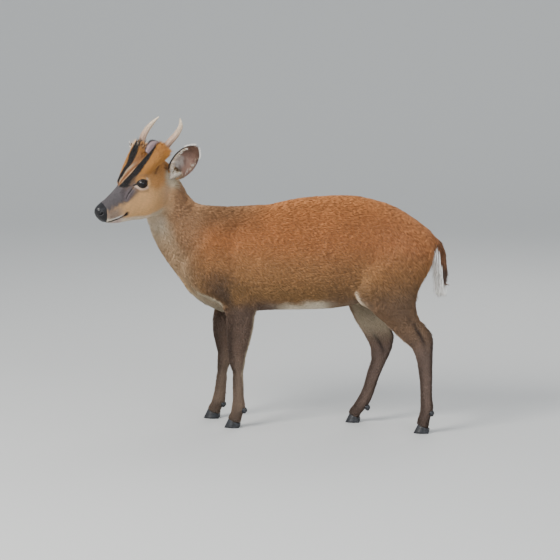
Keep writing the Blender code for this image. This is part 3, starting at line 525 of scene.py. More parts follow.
def coat_depth(points):
    h = head_places(points)
    z = points[:, 2] - SHIFT[2]
    depth = DEPTH_LEG + (DEPTH_BODY - DEPTH_LEG) * fade(z, 0.20, 0.34)
    face = DEPTH_FACE * fade(h[:, 0], 0.018, 0.040) + 0.0016 * fade(h[:, 0], 0.13, 0.20)
    depth = depth + (face - depth) * on_head(points)
    ears = on_ear(points)
    return depth + (DEPTH_EAR - depth) * ears


put_places(skin.data, points - normals_of(skin.data) * coat_depth(points)[:, None])
# Fewer faces where the form is plain, more on the face, the ears and the legs.
FACE_BUDGET = 165000
DENSE_LEVELS = 10
LEAST_WEIGHT, MOST_WEIGHT = 0.02, 1.0
weights = skin.vertex_groups.new(name="keep_dense")
points = places_of(skin.data)
h = head_places(points)
dense = on_head(points) * fade(h[:, 0], 0.21, 0.12)
dense = np.maximum(dense, 0.35 * on_head(points))
dense = np.maximum(dense, 0.30 * on_ear(points))
dense = np.maximum(dense, 0.20 * fade(points[:, 2], 0.36, 0.30))
levels = np.round(dense * DENSE_LEVELS).astype(int)
for level in range(DENSE_LEVELS + 1):
    chosen = np.nonzero(levels == level)[0]
    if len(chosen):
        weight = LEAST_WEIGHT + (MOST_WEIGHT - LEAST_WEIGHT) * level / DENSE_LEVELS
        weights.add(chosen.tolist(), weight, "REPLACE")


def triangles_of(mesh):
    return sum(len(p.vertices) - 2 for p in mesh.polygons)


triangles = triangles_of(skin.data)
thin = skin.modifiers.new("thin", "DECIMATE")
thin.ratio = FACE_BUDGET / triangles
thin.vertex_group = "keep_dense"
thin.invert_vertex_group = True
thin.vertex_group_factor = 1.0
applied(skin)
skin.vertex_groups.clear()

# The face. Lids close round each eyeball, the mouth is a fine line under the muzzle, the gland
# before the eye opens in a slit of bare skin, and a fine furrow runs along each brow ridge.
LID_OPENING = (0.0280, 0.0172)
LID_THICKNESS = 0.0011
EYE_LOOKS = (-0.36, 0.92, 0.12)
LID_TILT = math.radians(-20)
MOUTH_FRONT = 0.0140
MOUTH_CORNER = 0.0690
NOSTRIL = (0.0062, 0.0100, -0.0035)
GLAND_SLIT = [(0.1070, 0.0215), (0.0980, 0.0165), (0.0880, 0.0110), (0.0790, 0.0030)]


def mouth_line(back):
    return (
        -0.0300
        - 0.0035 * np.clip((back - 0.012) / 0.03, 0, 1)
        + 0.5 * np.maximum(back - 0.056, 0) ** 1.25
    )


def lid_frame(side):
    looks = head_way(EYE_LOOKS, side)
    rise = (BACK * math.cos(LID_TILT) + CROWN * math.sin(LID_TILT)).normalized()
    along = square_to(looks, rise)
    across = looks.cross(along)
    if across.dot(CROWN) < 0:
        across = -across
    return in_head(*on_side(EYE_CENTRE, side)), looks, along, across


def past_rim(points, side):
    """Distance outside the almond between the lids, with the offsets from the eyeball."""
    centre, looks, along, across = lid_frame(side)
    offset = points - np.array(centre)
    a, b = offset @ np.array(along), offset @ np.array(across)
    c = offset @ np.array(looks)
    wide, high = LID_OPENING[0] / 2, LID_OPENING[1] / 2
    u, v = np.abs(a) / wide, np.abs(b) / high + 1e-6
    value = u**2 + v**1.25 - 1
    slope = np.hypot(2 * u / wide, 1.25 * v**0.25 / high) + 1e-6
    rim = value / slope
    rim = np.where(c < 0.002, np.maximum(rim, 0.02), rim)
    return rim, a, b, c


def near_line(places, line):
    """Distance of each place from a line of points, and how far along the line it is."""
    best = np.full(len(places), 1.0)
    share = np.zeros(len(places))
    line = np.array(line)
    for i, (start, end) in enumerate(zip(line[:-1], line[1:])):
        run = end - start
        t = np.clip(((places - start) @ run) / (run @ run), 0, 1)
        distance = np.linalg.norm(places - (start + t[:, None] * run), axis=1)
        closer = distance < best
        best = np.where(closer, distance, best)
        share = np.where(closer, (i + t) / (len(line) - 1), share)
    return best, share


def split_edges(mesh, chosen):
    """Halves the edges inside the chosen region."""
    bm = bmesh.new()
    bm.from_mesh(mesh)
    edges = [e for e in bm.edges if chosen[e.verts[0].index] and chosen[e.verts[1].index]]
    bmesh.ops.subdivide_edges(bm, edges=edges, cuts=1, use_grid_fill=True, smooth=0)
    bmesh.ops.triangulate(bm, faces=[f for f in bm.faces if len(f.verts) > 3])
    bm.to_mesh(mesh)
    bm.free()


points = places_of(skin.data)
h = head_places(points)
fine = np.zeros(len(points), bool)
for eye_side in (1, -1):
    rim, a, b, c = past_rim(points, eye_side)
    fine |= (rim < 0.0060) & (rim > -0.0030) & (c > 0.002)
fine |= (h[:, 0] < 0.026) & (h[:, 2] > -0.036)
fine |= (h[:, 0] < 0.078) & (np.abs(h[:, 2] - mouth_line(h[:, 0])) < 0.0045)
fine |= (near_line(h[:, [0, 2]], GLAND_SLIT)[0] < 0.0050) & (np.abs(h[:, 1]) > 0.015)
split_edges(skin.data, fine)
points = places_of(skin.data)
points = eased(skin.data, points, 0.3 * on_head(points) * (on_ear(points) < 0.05), 3)
put_places(skin.data, points)


def bell(distance, width):
    """1 at no distance, falling away to nothing over about twice the width."""
    return np.exp(-((distance / width) ** 2))


def carve_face(mesh):
    points, normals = places_of(mesh), normals_of(mesh)
    h = head_places(points)
    back, across, high = h.T
    left = np.abs(across)
    inwards = np.zeros(len(points))
    # Mouth line, deeper towards its corner, and a lower lip set back under the upper one.
    gap = high - mouth_line(back)
    run = fade(back, MOUTH_FRONT - 0.006, MOUTH_FRONT) * fade(
        back, MOUTH_CORNER + 0.003, MOUTH_CORNER - 0.004
    )
    inwards += 0.0026 * bell(gap, 0.0010) * run
    inwards += 0.0009 * fade(gap, 0.0002, -0.0012) * fade(gap, -0.014, -0.006) * run
    inwards -= 0.0007 * bell(gap - 0.0030, 0.0020) * run
    corner = np.hypot(back - MOUTH_CORNER + 0.003, gap)
    inwards += 0.0016 * bell(corner, 0.0035) * (left > 0.008)
    # Nostrils: a comma-shaped hollow with a raised wing behind it.
    axes = np.array([(0.80, 0.45, 0.40), (0.40, -0.15, -0.90), (-0.45, 0.88, -0.15)])
    offset = (np.stack([back, left, high], 1) - np.array(NOSTRIL)) @ axes.T
    curl = offset[:, 1] + 22.0 * offset[:, 0] ** 2
    hollow = (offset[:, 0] / 0.0058) ** 2 + (curl / 0.0026) ** 2 + (offset[:, 2] / 0.0090) ** 2
    inwards += 0.0042 * fade(hollow, 1.15, 0.15)
    inwards -= 0.0006 * np.exp(-((np.sqrt(hollow) - 1.45) ** 2) / 0.10) * (back < 0.022)
    # The groove down the middle of the nose.
    nose_front = fade(back, 0.020, 0.010) * fade(high, -0.002, -0.010)
    inwards += 0.0007 * bell(across, 0.0008) * nose_front
    # Gland before the eye: an open slit with swollen lips.
    slit, share = near_line(h[:, [0, 2]], GLAND_SLIT)
    sides = (left > 0.012) * np.sin(math.pi * np.clip(share, 0.04, 0.96))
    inwards += 0.0021 * bell(slit, 0.0011) * sides
    inwards -= 0.0008 * bell(slit - 0.0030, 0.0016) * sides
    # A fine furrow along the inner edge of each brow ridge.
    brow, share = near_line(
        np.stack([back, left], 1), [(0.084, 0.0050), (0.115, 0.0125), (0.150, 0.0200)]
    )
    ridge = np.sin(math.pi * np.clip(share, 0.03, 0.97)) * (high > 0.020)
    inwards += 0.0010 * bell(brow, 0.0012) * ridge
    inwards -= 0.0012 * bell(brow - 0.0048, 0.0026) * ridge
    # Hollow along the muzzle's side, cheek muscle and the edge of the jaw.
    inwards += 0.0016 * bell(back - 0.070, 0.018) * bell(high + 0.004, 0.010) * (left > 0.010)
    inwards -= 0.0016 * bell(back - 0.150, 0.020) * bell(high + 0.038, 0.016) * (left > 0.015)
    points = points - normals * inwards[:, None]
    # Lids: skin stretched over the eyeball, with a crease above and a softer one below.
    for side in (1, -1):
        rim, a, b, c = past_rim(points, side)
        centre = np.array(lid_frame(side)[0])
        near = (np.hypot(a, b) < 0.026) & (c > 0)
        offset = points - centre
        radius = np.linalg.norm(offset, axis=1)
        lid = EYE_RADIUS + LID_THICKNESS + 0.0010 * fade(rim, 0.001, 0.006)
        lid -= 0.0010 * bell(rim - 0.0036, 0.0009) * (b > 0)
        lid -= 0.0006 * bell(rim - 0.0034, 0.0010) * (b <= 0)
        lid = np.where(rim < 0, EYE_RADIUS + LID_THICKNESS - 0.0045 * fade(-rim, 0, 0.0010), lid)
        hold = fade(rim, 0.0105, 0.0030) * near
        wanted = radius + (lid - radius) * hold
        points = centre + offset * (wanted / np.maximum(radius, 1e-6))[:, None]
    put_places(mesh, points)


def snap_rims(mesh):
    """Draws the points nearest each almond exactly on to it, for a clean edge."""
    points = places_of(mesh)
    for side in (1, -1):
        rim, a, b, c = past_rim(points, side)
        _, _, along, across = lid_frame(side)
        near = (np.abs(rim) < 0.00036) & (c > 0.002)
        wide, high = LID_OPENING[0] / 2, LID_OPENING[1] / 2
        slope = np.stack(
            [2 * a / wide**2, 1.25 * np.sign(b) * (np.abs(b) / high + 1e-6) ** 0.25 / high], 1
        )
        slope /= np.linalg.norm(slope, axis=1)[:, None] + 1e-9
        move = -(rim * near)[:, None] * slope
        points = points + move[:, :1] * np.array(along) + move[:, 1:] * np.array(across)
    put_places(mesh, points)


# Above each hock the tendon stands clear of the shin, with a hollow between them on both sides.
TENDON_HOLLOW = [(0.340, 0.290), (0.358, 0.266), (0.374, 0.242), (0.384, 0.222), (0.387, 0.200)]
FAR_HINDLEG_LIES = (-0.109, -0.036)
HOLLOW_DEPTH = 0.0030


def by_the_tendon(design):
    found = np.zeros(len(design))
    for leg, lies in ((-1, (0, 0)), (1, FAR_HINDLEG_LIES)):
        away, share = near_line(design[:, [0, 2]] - lies, TENDON_HOLLOW)
        here = (np.sign(design[:, 1]) == leg) * np.sin(math.pi * np.clip(share, 0.08, 0.92))
        found = np.maximum(found, bell(away, 0.0050) * here)
    return found


snap_rims(skin.data)
carve_face(skin.data)
points = places_of(skin.data)
hollow = by_the_tendon(points - SHIFT)[:, None] * HOLLOW_DEPTH
put_places(skin.data, points - normals_of(skin.data) * hollow)
smooth(skin.data)
print("skin triangles", triangles_of(skin.data))

# Markings. Chestnut above and on the rump, gold on the flanks, white below, dark legs, and the
# black V and grey muzzle of the face. They are painted on the skin by place, and every tuft
# takes the colour at its root.
# Most colours below are the coat's own. A few darker marks are painted shade: the hollow by each tendon, the
# folds in the fur behind the brow, and the corners of the mouth.
CHESTNUT = (183, 120, 70)
RUST = (180, 120, 76)
GOLD = (164, 120, 76)
BRONZE = (142, 108, 70)
CREAM = (208, 192, 165)
WHITE = (236, 231, 224)
UMBER = (62, 47, 38)
SMOKE = (126, 98, 74)
DRAB = (138, 112, 84)
SLATE = (102, 96, 98)
PITCH = (30, 25, 24)
AMBER = (192, 134, 68)
TAN = (224, 178, 122)
PINK = (172, 138, 124)


# The black stripe of each side: places in the head's frame and half width.
BLACK_STRIPES = {
    1: [
        (0.0860, 0.0060, 0.0310, 0.0050), (0.0950, 0.0118, 0.0340, 0.0095), (0.1066, 0.0167, 0.0410, 0.0105),
        (0.1200, 0.0215, 0.0480, 0.0100), (0.1336, 0.0260, 0.0560, 0.0100), (0.1450, 0.0300, 0.0635, 0.0085),
        (0.1583, 0.0330, 0.0705, 0.0085), (0.1700, 0.0345, 0.0780, 0.0072), (0.1840, 0.0345, 0.0850, 0.0062),
        (0.2000, 0.0350, 0.0900, 0.0055),
    ],
    -1: [
        (0.0860, 0.0100, 0.0330, 0.0030), (0.1004, 0.0160, 0.0400, 0.0036), (0.1264, 0.0175, 0.0540, 0.0042),
        (0.1415, 0.0185, 0.0605, 0.0052), (0.1550, 0.0220, 0.0674, 0.0068), (0.1640, 0.0255, 0.0713, 0.0085),
        (0.1790, 0.0320, 0.0790, 0.0085), (0.1950, 0.0385, 0.0850, 0.0080),
    ],
}
# Two folds in the fur behind the brow, the same on both sides, marked with painted shade: places in the
# head's frame.
FUR_FOLDS = [
    [(0.1880, 0.0295, 0.0396), (0.1788, 0.0323, 0.0348), (0.1697, 0.0344, 0.0285)],
    [(0.2081, 0.0275, 0.0319), (0.2028, 0.0329, 0.0216), (0.2029, 0.0358, 0.0112)],
]


def linear(colour):
    c = np.array(colour, float) / 255
    return np.where(c <= 0.04045, c / 12.92, ((c + 0.055) / 1.055) ** 2.4)


def capsule(points, start, end, full, none):
    """1 within full of the line from start to end, 0 beyond none."""
    start, run = np.array(start, float), np.array(end, float) - np.array(start, float)
    t = np.clip(((points - start) @ run) / max(run @ run, 1e-12), 0, 1)
    return fade(np.linalg.norm(points - start - t[:, None] * run, axis=1), none, full)


def ripple(points, scale, seed):
    """Smooth unevenness between -1 and 1, the same on every run."""
    rng = np.random.default_rng(seed)
    total = np.zeros(len(points))
    for size in (1.0, 1.9, 3.4):
        ways = rng.normal(size=(3, 3))
        ways /= np.linalg.norm(ways, axis=1)[:, None]
        phase = rng.uniform(0, 6.28, 3)
        for way, start in zip(ways, phase):
            total += np.sin(points @ way * size * 2 * math.pi / scale + start) / size
    return total / 4.5


points, normals = places_of(skin.data), normals_of(skin.data)
colour = np.tile(linear(CHESTNUT), (len(points), 1))


def paint(shade, mask):
    """Lays a shade over the skin's colour, as far as the mask goes at each point."""
    colour[:] = colour + (linear(shade) - colour) * np.clip(mask, 0, 1)[:, None]


WITHERS = (124, 94, 66)
BELLY = (222, 208, 184)
NECK_FRONT = (178, 144, 108)
NECK_SIDE = (176, 134, 96)
NAPE = (150, 126, 102)


def paint_trunk(points, normals):
    design = points - SHIFT
    x, _, z = design.T
    soft = ripple(design, 0.09, 3) * 0.012
    low = z + soft
    # Withers drab, flanks golden and then bronze, and only the belly's middle white.
    paint(WITHERS, fade(x, 0.02, -0.09) * fade(low, 0.46, 0.52) * 0.80)
    paint(RUST, fade(x, 0.20, 0.36) * fade(low, 0.36, 0.44) * 0.8)
    paint(GOLD, fade(low, 0.47, 0.38) * 0.9)
    paint(BRONZE, fade(low, 0.395, 0.325) * fade(x, 0.42, 0.34) * 0.9)
    middle_of_belly = fade(normals[:, 2], -0.22, -0.62) * (z > 0.25) * (z < 0.36)
    belly_edge = fade(x, -0.05, 0.03) * fade(low - 0.06 * (x - 0.1), 0.320, 0.300) * (x < 0.26)
    paint(BELLY, middle_of_belly * belly_edge)
    # Neck: drab, with a pale stripe down the throat to the brisket.
    neck = fade(x, -0.13, -0.20) * (1 - on_head(points))
    paint(DRAB, neck * 0.70)
    paint(NECK_FRONT, neck * fade(x + 0.25 * (z - 0.5), -0.205, -0.245) * 0.7)
    paint(NECK_SIDE, neck * fade(x + 0.5 * (z - 0.5), -0.245, -0.195) * fade(z, 0.42, 0.48) * 0.8)
    paint(NAPE, neck * fade(z, 0.56, 0.61) * fade(x + 0.5 * (z - 0.5), -0.245, -0.200) * 0.6)
    facing = -(normals @ np.array((0.78, 0.53, 0.34)))
    pale = fade(facing + soft * 6, 0.58, 0.88) * neck * fade(z, 0.32, 0.38)
    paint(CREAM, pale * (0.15 + 0.80 * fade(z, 0.42, 0.52)))
    paint(WHITE, pale * fade(z, 0.47, 0.53) * 0.6)
    paint(TAN, capsule(design, (-0.215, 0, 0.345), (-0.165, 0, 0.300), 0.018, 0.040) * 0.6)


SHOULDER_PATCH = (78, 60, 46)
ELBOW = (150, 112, 68)
FORELEG = (112, 90, 76)
FORE_SHANK = (130, 110, 94)
HIND_SHANK = (120, 100, 90)
TENDON_HOLLOW_SHADE = (40, 30, 30)
THIGH_LINE = (226, 206, 180)


def paint_legs(points, normals):
    design = points - SHIFT
    x, y, z = design.T
    # A dark patch over the lower shoulder, and grey-brown forelegs, darkest in front.
    for leg in (-1, 1):
        patch = capsule(design, (-0.120, 0.085 * leg, 0.356), (-0.064, 0.085 * leg, 0.318), 0.012, 0.046)
        paint(SHOULDER_PATCH, patch * 0.85)
    fore = fade(x, 0.05, 0.0) * fade(z, 0.335, 0.290)
    elbow = capsule(design * (1, 0, 1), (-0.060, 0, 0.335), (-0.035, 0, 0.290), 0.014, 0.034)
    paint(ELBOW, elbow * 0.8)
    paint(FORELEG, fore * fade(z - 0.5 * (x + 0.08), 0.325, 0.285))
    paint(FORE_SHANK, fore * fade(z, 0.20, 0.12))
    under = fade(normals[:, 2], -0.40, -0.75) * fade(x, -0.085, -0.115) * fade(z, 0.39, 0.35) * (z > 0.262)
    paint(CREAM, under)
    front = fade(normals[:, 0], 0.05, -0.55) * fade(z, 0.03, 0.16)
    paint(UMBER, fore * front * (0.40 + 0.40 * fade(z, 0.30, 0.22)))
    hind = fade(x, 0.12, 0.16)
    paint(SMOKE, hind * fade(z - 0.12 * (x - 0.3), 0.385, 0.300))
    paint(HIND_SHANK, hind * fade(z, 0.265, 0.180) * 0.9)
    paint(UMBER, hind * fade(normals[:, 0], 0.0, -0.6) * fade(z, 0.200, 0.150) * 0.6)
    paint(UMBER, hind * fade(normals[:, 0], 0.35, 0.85) * fade(z, 0.290, 0.250) * 0.75)
    # Painted shade in the hollow between tendon and shin above each hock.
    paint(TENDON_HOLLOW_SHADE, hind * by_the_tendon(design) * 0.85)
    paint(UMBER, fade(z, 0.060, 0.030) * 0.5)
    # Pale inside of the thighs and the white line along the front edge of each.
    inner = np.where(y < 0, normals[:, 1], -normals[:, 1])
    paint(CREAM, hind * fade(inner, 0.30, 0.80) * fade(z, 0.20, 0.26) * fade(z, 0.40, 0.34) * 0.8)
    fold = {
        -1: [(0.209, 0.350), (0.226, 0.318), (0.253, 0.294), (0.292, 0.261), (0.330, 0.226), (0.356, 0.204)],
        1: [(0.172, 0.350), (0.180, 0.308), (0.194, 0.276), (0.209, 0.248), (0.227, 0.222)],
    }
    for leg, line in fold.items():
        edge, share = near_line(design[:, [0, 2]], line)
        mask = fade(edge, 0.0056, 0.0016) * (np.sign(y) == leg) * fade(share, 1.0, 0.85)
        paint(THIGH_LINE, mask * 0.9)
    # Thin pale line down the rear edge of each foreleg.
    rear = fade(normals[:, 0], 0.75, 0.95) * fade(x, 0.05, 0.0) * fade(z, 0.08, 0.16)
    paint(CREAM, rear * fade(z, 0.31, 0.29) * 0.7)


DOCK_TOP = (122, 82, 56)
DOCK_LOW = (96, 74, 60)


def paint_dock(points, normals):
    """Brown behind, white on the inner face."""
    x, y, z = (points - SHIFT).T
    tail = fade(x, 0.398, 0.405) * (z < 0.465) * (np.abs(y) < 0.02)
    paint(DOCK_TOP, tail * fade(normals[:, 0], -0.1, 0.4))
    paint(DOCK_LOW, tail * fade(normals[:, 0], -0.1, 0.4) * fade(z, 0.43, 0.39))
    paint(WHITE, tail * fade(normals[:, 0], 0.0, -0.4))


CHEEK_REAR = (204, 170, 136)
BEFORE_EYE = (86, 74, 76)
MUZZLE_SIDE = (158, 138, 124)
JAW = (230, 216, 194)
WHISKER_ROOTS = (92, 76, 66)
LOWER_LIP = (214, 190, 178)
BAND = (196, 142, 92)
BAND_MIDDLE = (138, 88, 56)
FUR_FOLD_SHADE = (112, 72, 42)
GLAND = (116, 104, 106)
PALE_RING = (232, 204, 182)
OUTER_RING = (150, 118, 88)
NOSE = (27, 26, 29)
MOUTH = (24, 18, 18)
LIP_CORNER_SHADE = (40, 30, 28)


def paint_face(points, normals):
    """The face, the same on both sides but for its stripes. Gives back where the skin is wet."""
    h = head_places(points)
    back, across, high = h.T
    left = np.abs(across)
    wet = np.zeros(len(points))
    face = on_head(points) * (on_ear(points) < 0.5)
    paint(TAN, face)
    paint(CHEEK_REAR, face * fade(back, 0.150, 0.195) * fade(high, 0.010, -0.020) * 0.9)
    paint(AMBER, face * fade(high, 0.022, 0.040) * fade(back, 0.095, 0.115))
    paint(AMBER, face * capsule(h * (1, 0, 1), (0.165, 0, 0.014), (0.200, 0, 0.030), 0.012, 0.030) * 0.8)
    reach = 0.006 * ripple(h, 0.012, 21)
    above_lip = fade(high + (0.03 - back) * 0.10 + reach, -0.016, 0.002)
    muzzle = fade(back + reach, 0.112, 0.078) * above_lip
    paint(SLATE, face * muzzle)
    before_eye = fade(back, 0.120, 0.108) * fade(back, 0.060, 0.080) * (left > 0.012)
    paint(BEFORE_EYE, face * before_eye * fade(high - 0.35 * (back - 0.085), -0.008, 0.002) * 0.8)
    paint(MUZZLE_SIDE, face * fade(back, 0.075, 0.040) * fade(high, 0.0, -0.014) * 0.9)
    lip = high - mouth_line(back)
    paint(WHITE, face * fade(lip, 0.0084 - 0.08 * (back - 0.02), 0.0034) * fade(back, 0.062, 0.046))
    jaw_line = spline(HEAD[:, 0], HEAD, np.clip(back, 0, 0.24))[:, 2]
    jaw = fade(high - jaw_line, 0.016, 0.008)
    paint(JAW, face * jaw * fade(back, 0.175, 0.160) * 0.9)
    paint(CREAM, face * fade(high, -0.052, -0.066) * fade(back, 0.120, 0.140) * 0.8)
    whisker_rows = np.sin(back * 1250) * np.sin(high * 1500) * fade(back, 0.062, 0.050)
    on_upper_lip = (back > 0.022) * (high > -0.030) * (high < -0.008)
    paint(WHISKER_ROOTS, face * fade(whisker_rows, 0.55, 0.85) * on_upper_lip * 0.6)
    paint(LOWER_LIP, face * fade(high, -0.0335, -0.036) * fade(back, 0.058, 0.048))
    # Black V: a stripe up the upper, inner face of each pedicle. Between the two runs an orange
    # band with a brown middle and a cream edge.
    upward = normals @ np.array(CROWN)
    up = (high > 0.018) * fade(upward, -0.15, 0.15)
    from_band = np.abs(across + 0.0040)
    band = face * up * fade(back, 0.082, 0.090) * fade(from_band, 0.0150, 0.0120)
    paint(BAND, band)
    paint(BAND_MIDDLE, band * fade(from_band, 0.0040, 0.0012) * 0.8)
    paint(CREAM, band * fade(np.abs(from_band - 0.0075), 0.0026, 0.0010) * fade(back, 0.165, 0.140) * 0.85)
    for stripe_side, rows in BLACK_STRIPES.items():
        rows = np.array(rows)
        away, share = near_line(h * (1, stripe_side, 0.85), rows[:, :3] * (1, 1, 0.85))
        half = np.interp(share * (len(rows) - 1), range(len(rows)), rows[:, 3])
        half = half + 0.0010 * ripple(h, 0.006, 12)
        black = face * up * (across * stripe_side > 0)
        paint(PITCH, black * fade(away - half, 0.0016, -0.0008))
    # Painted shade along the folds in the fur.
    for fold_line in FUR_FOLDS:
        away = near_line(np.stack([back, left, high], 1), fold_line)[0]
        paint(FUR_FOLD_SHADE, face * fade(away, 0.0040, 0.0012) * 0.75)
    # Gland, eye rings and lids.
    slit = near_line(h[:, [0, 2]], GLAND_SLIT)[0]
    paint(GLAND, face * fade(slit, 0.0100, 0.0050) * (left > 0.010))
    paint(PITCH, face * fade(slit, 0.0018, 0.0008) * (left > 0.010))
    for eye in (1, -1):
        rim, a, b, c = past_rim(points, eye)
        around = (c > 0.0) * (np.hypot(a, b) < 0.034) * face
        below = np.maximum(fade(b, 0.002, -0.004), fade(a, 0.006, 0.012))
        paint(PALE_RING, around * below * fade(np.abs(rim - 0.0044), 0.0040, 0.0012) * 0.9)
        paint(OUTER_RING, around * fade(np.abs(rim - 0.0100), 0.0034, 0.0010) * 0.45)
        lid_line = 0.0016 + 0.0010 * fade(b, 0.0, 0.006)
        paint(PITCH, around * fade(rim - lid_line, 0.0009, -0.0004))
        tear_line = capsule(
            np.stack([a, b, 0 * a], 1), (-0.0150, -0.0010, 0), (-0.0220, -0.0040, 0), 0.0012, 0.0032
        )
        paint(PITCH, around * tear_line)
        wet = np.maximum(wet, around * fade(rim, 0.0013, 0.0006))
    # Nose pad: bare, black and wet, down to the upper lip.
    nose_edge = back - (0.0225 - 0.30 * np.maximum(-high, 0) + 0.012 * np.maximum(high, 0))
    nose_edge = nose_edge + 0.0012 * (left / 0.014) ** 2 + 0.0009 * ripple(h, 0.005, 8)
    nose = fade(nose_edge, 0.0010, -0.0006) * (high > -0.0300)
    paint(NOSE, nose)
    wet = np.maximum(wet, nose)
    mouth = bell(lip, 0.0018)
    mouth = mouth * fade(back, 0.010, 0.014) * fade(back, 0.073, 0.069) * on_head(points)
    paint(MOUTH, mouth * 1.6)
    # Painted shade in the hollow at each corner of the mouth.
    at_corner = np.hypot(back - MOUTH_CORNER + 0.002, lip * 1.4)
    paint(LIP_CORNER_SHADE, face * fade(at_corner, 0.0085, 0.0040) * (left > 0.006))
    return wet


EAR_BACK = (104, 80, 60)
EAR_TIP = (104, 76, 60)
EAR_BLOTCH = (96, 66, 56)
EAR_EDGE = (36, 29, 28)


def paint_ears(points, normals):
    """Brown behind with a black edge, pinkish inside, white at the base."""
    for ear_side in (1, -1):
        root, way, opens, _ = ear_frame(ear_side)
        share, across, towards = ear_places(points, ear_side)
        leaf = fade(share, 0.10, 0.24) * in_leaf(share, across, towards)
        facing = normals @ np.array(opens)
        edge = ear_rows(np.clip(share, 0, 1))[:, 1] - np.abs(across)
        paint(DRAB, leaf)
        paint(EAR_BACK, leaf * fade(share, 0.3, 0.8))
        inside = leaf * fade(facing, 0.0, 0.35)
        paint(PINK, inside)
        paint(EAR_TIP, inside * fade(share, 0.50, 0.88) * 0.9)
        blotch = ripple(points, 0.018, 31)
        paint(EAR_BLOTCH, inside * fade(blotch, 0.05, 0.45) * 0.4)
        paint(WHITE, inside * fade(share + blotch * 0.15, 0.62, 0.30) * fade(across, 0.012, -0.008) * 0.8)
        front = fade(across, 0.006, -0.004)
        black = leaf * fade(edge, 0.0056, 0.0024) * fade(share, 0.10, 0.20)
        paint(EAR_EDGE, black * (0.35 + 0.65 * front))
        paint(WHITE, leaf * (1 - fade(facing, -0.2, 0.1)) * fade(share, 0.86, 0.95) * 0.85)
        base = fade(np.linalg.norm(points - np.array(root + opens * 0.004), axis=1), 0.030, 0.016)
        paint(CREAM, base * fade(facing, -0.2, 0.3) * (1 - leaf))
        spot = np.array(root + opens * 0.010 + way * 0.004)
        paint(PITCH, fade(np.linalg.norm(points - spot, axis=1), 0.0060, 0.0035))


paint_trunk(points, normals)
paint_legs(points, normals)
paint_dock(points, normals)
wet = paint_face(points, normals)
paint_ears(points, normals)
# Unevenness of a living coat: broad mottling and fine streaks along its lie, none on wet skin.
MOTTLE_SIZE, MOTTLE_DEPTH = 0.060, 0.10
STREAK_SIZE, STREAK_DEPTH, STREAK_STRETCH = 0.0065, 0.13, 0.85
design = points - SHIFT
trend = np.array((0.80, 0, -0.60))
stretched = design - (design @ trend)[:, None] * trend * STREAK_STRETCH
mottle = MOTTLE_DEPTH * ripple(design, MOTTLE_SIZE, 5) + STREAK_DEPTH * ripple(stretched, STREAK_SIZE, 9)
colour *= (1 + mottle * (1 - wet))[:, None]


def store(mesh, name, kind, values, domain="POINT"):
    """Keeps the values on the mesh, one for each of its points, faces or corners."""
    if kind == "FLOAT_COLOR":
        values = np.hstack([values, np.ones((len(values), 1))])
    layer = mesh.attributes.new(name, kind, domain)
    key = {"FLOAT_COLOR": "color", "FLOAT_VECTOR": "vector", "FLOAT2": "vector"}.get(kind, "value")
    number = np.int32 if kind == "INT" else np.float32
    layer.data.foreach_set(key, np.ascontiguousarray(values, number).ravel())


store(skin.data, "marking", "FLOAT_COLOR", colour)
store(skin.data, "wet", "FLOAT", wet)

# The lie of the coat: the way the hair grows at a few places, and everywhere between them.
LIE_ON_HEAD = [
    ((0.015, 0.000, 0.016), (1, 0, 0.15)),
    ((0.050, 0.000, 0.022), (1, 0, 0.20)),
    ((0.050, 0.019, -0.010), (1, 0.1, -0.20)),
    ((0.030, 0.014, -0.028), (0.9, 0.2, -0.35)),
    ((0.080, 0.000, -0.055), (1, 0, -0.05)),
    ((0.090, 0.026, 0.000), (1, 0.2, -0.25)),
    ((0.100, 0.000, 0.040), (1, 0, 0.35)),
    ((0.105, 0.028, 0.025), (1, 0.3, 0.30)),
    ((0.140, 0.000, 0.052), (1, 0, 0.30)),
    ((0.135, 0.040, 0.044), (0.9, 0.3, 0.45)),
    ((0.180, 0.037, 0.075), (0.75, 0.2, 0.60)),
    ((0.180, 0.053, 0.055), (0.80, 0.3, 0.50)),
    ((0.205, 0.042, 0.062), (0.75, 0.25, 0.60)),
    ((0.165, 0.046, 0.020), (1, 0.2, -0.10)),
    ((0.140, 0.042, -0.010), (0.9, 0.1, -0.45)),
    ((0.120, 0.034, -0.045), (0.9, 0.1, -0.40)),
    ((0.170, 0.040, -0.045), (0.75, 0.1, -0.65)),
    ((0.200, 0.000, 0.050), (1, 0, -0.20)),
    ((0.215, 0.034, 0.000), (0.8, 0.3, -0.50)),
]
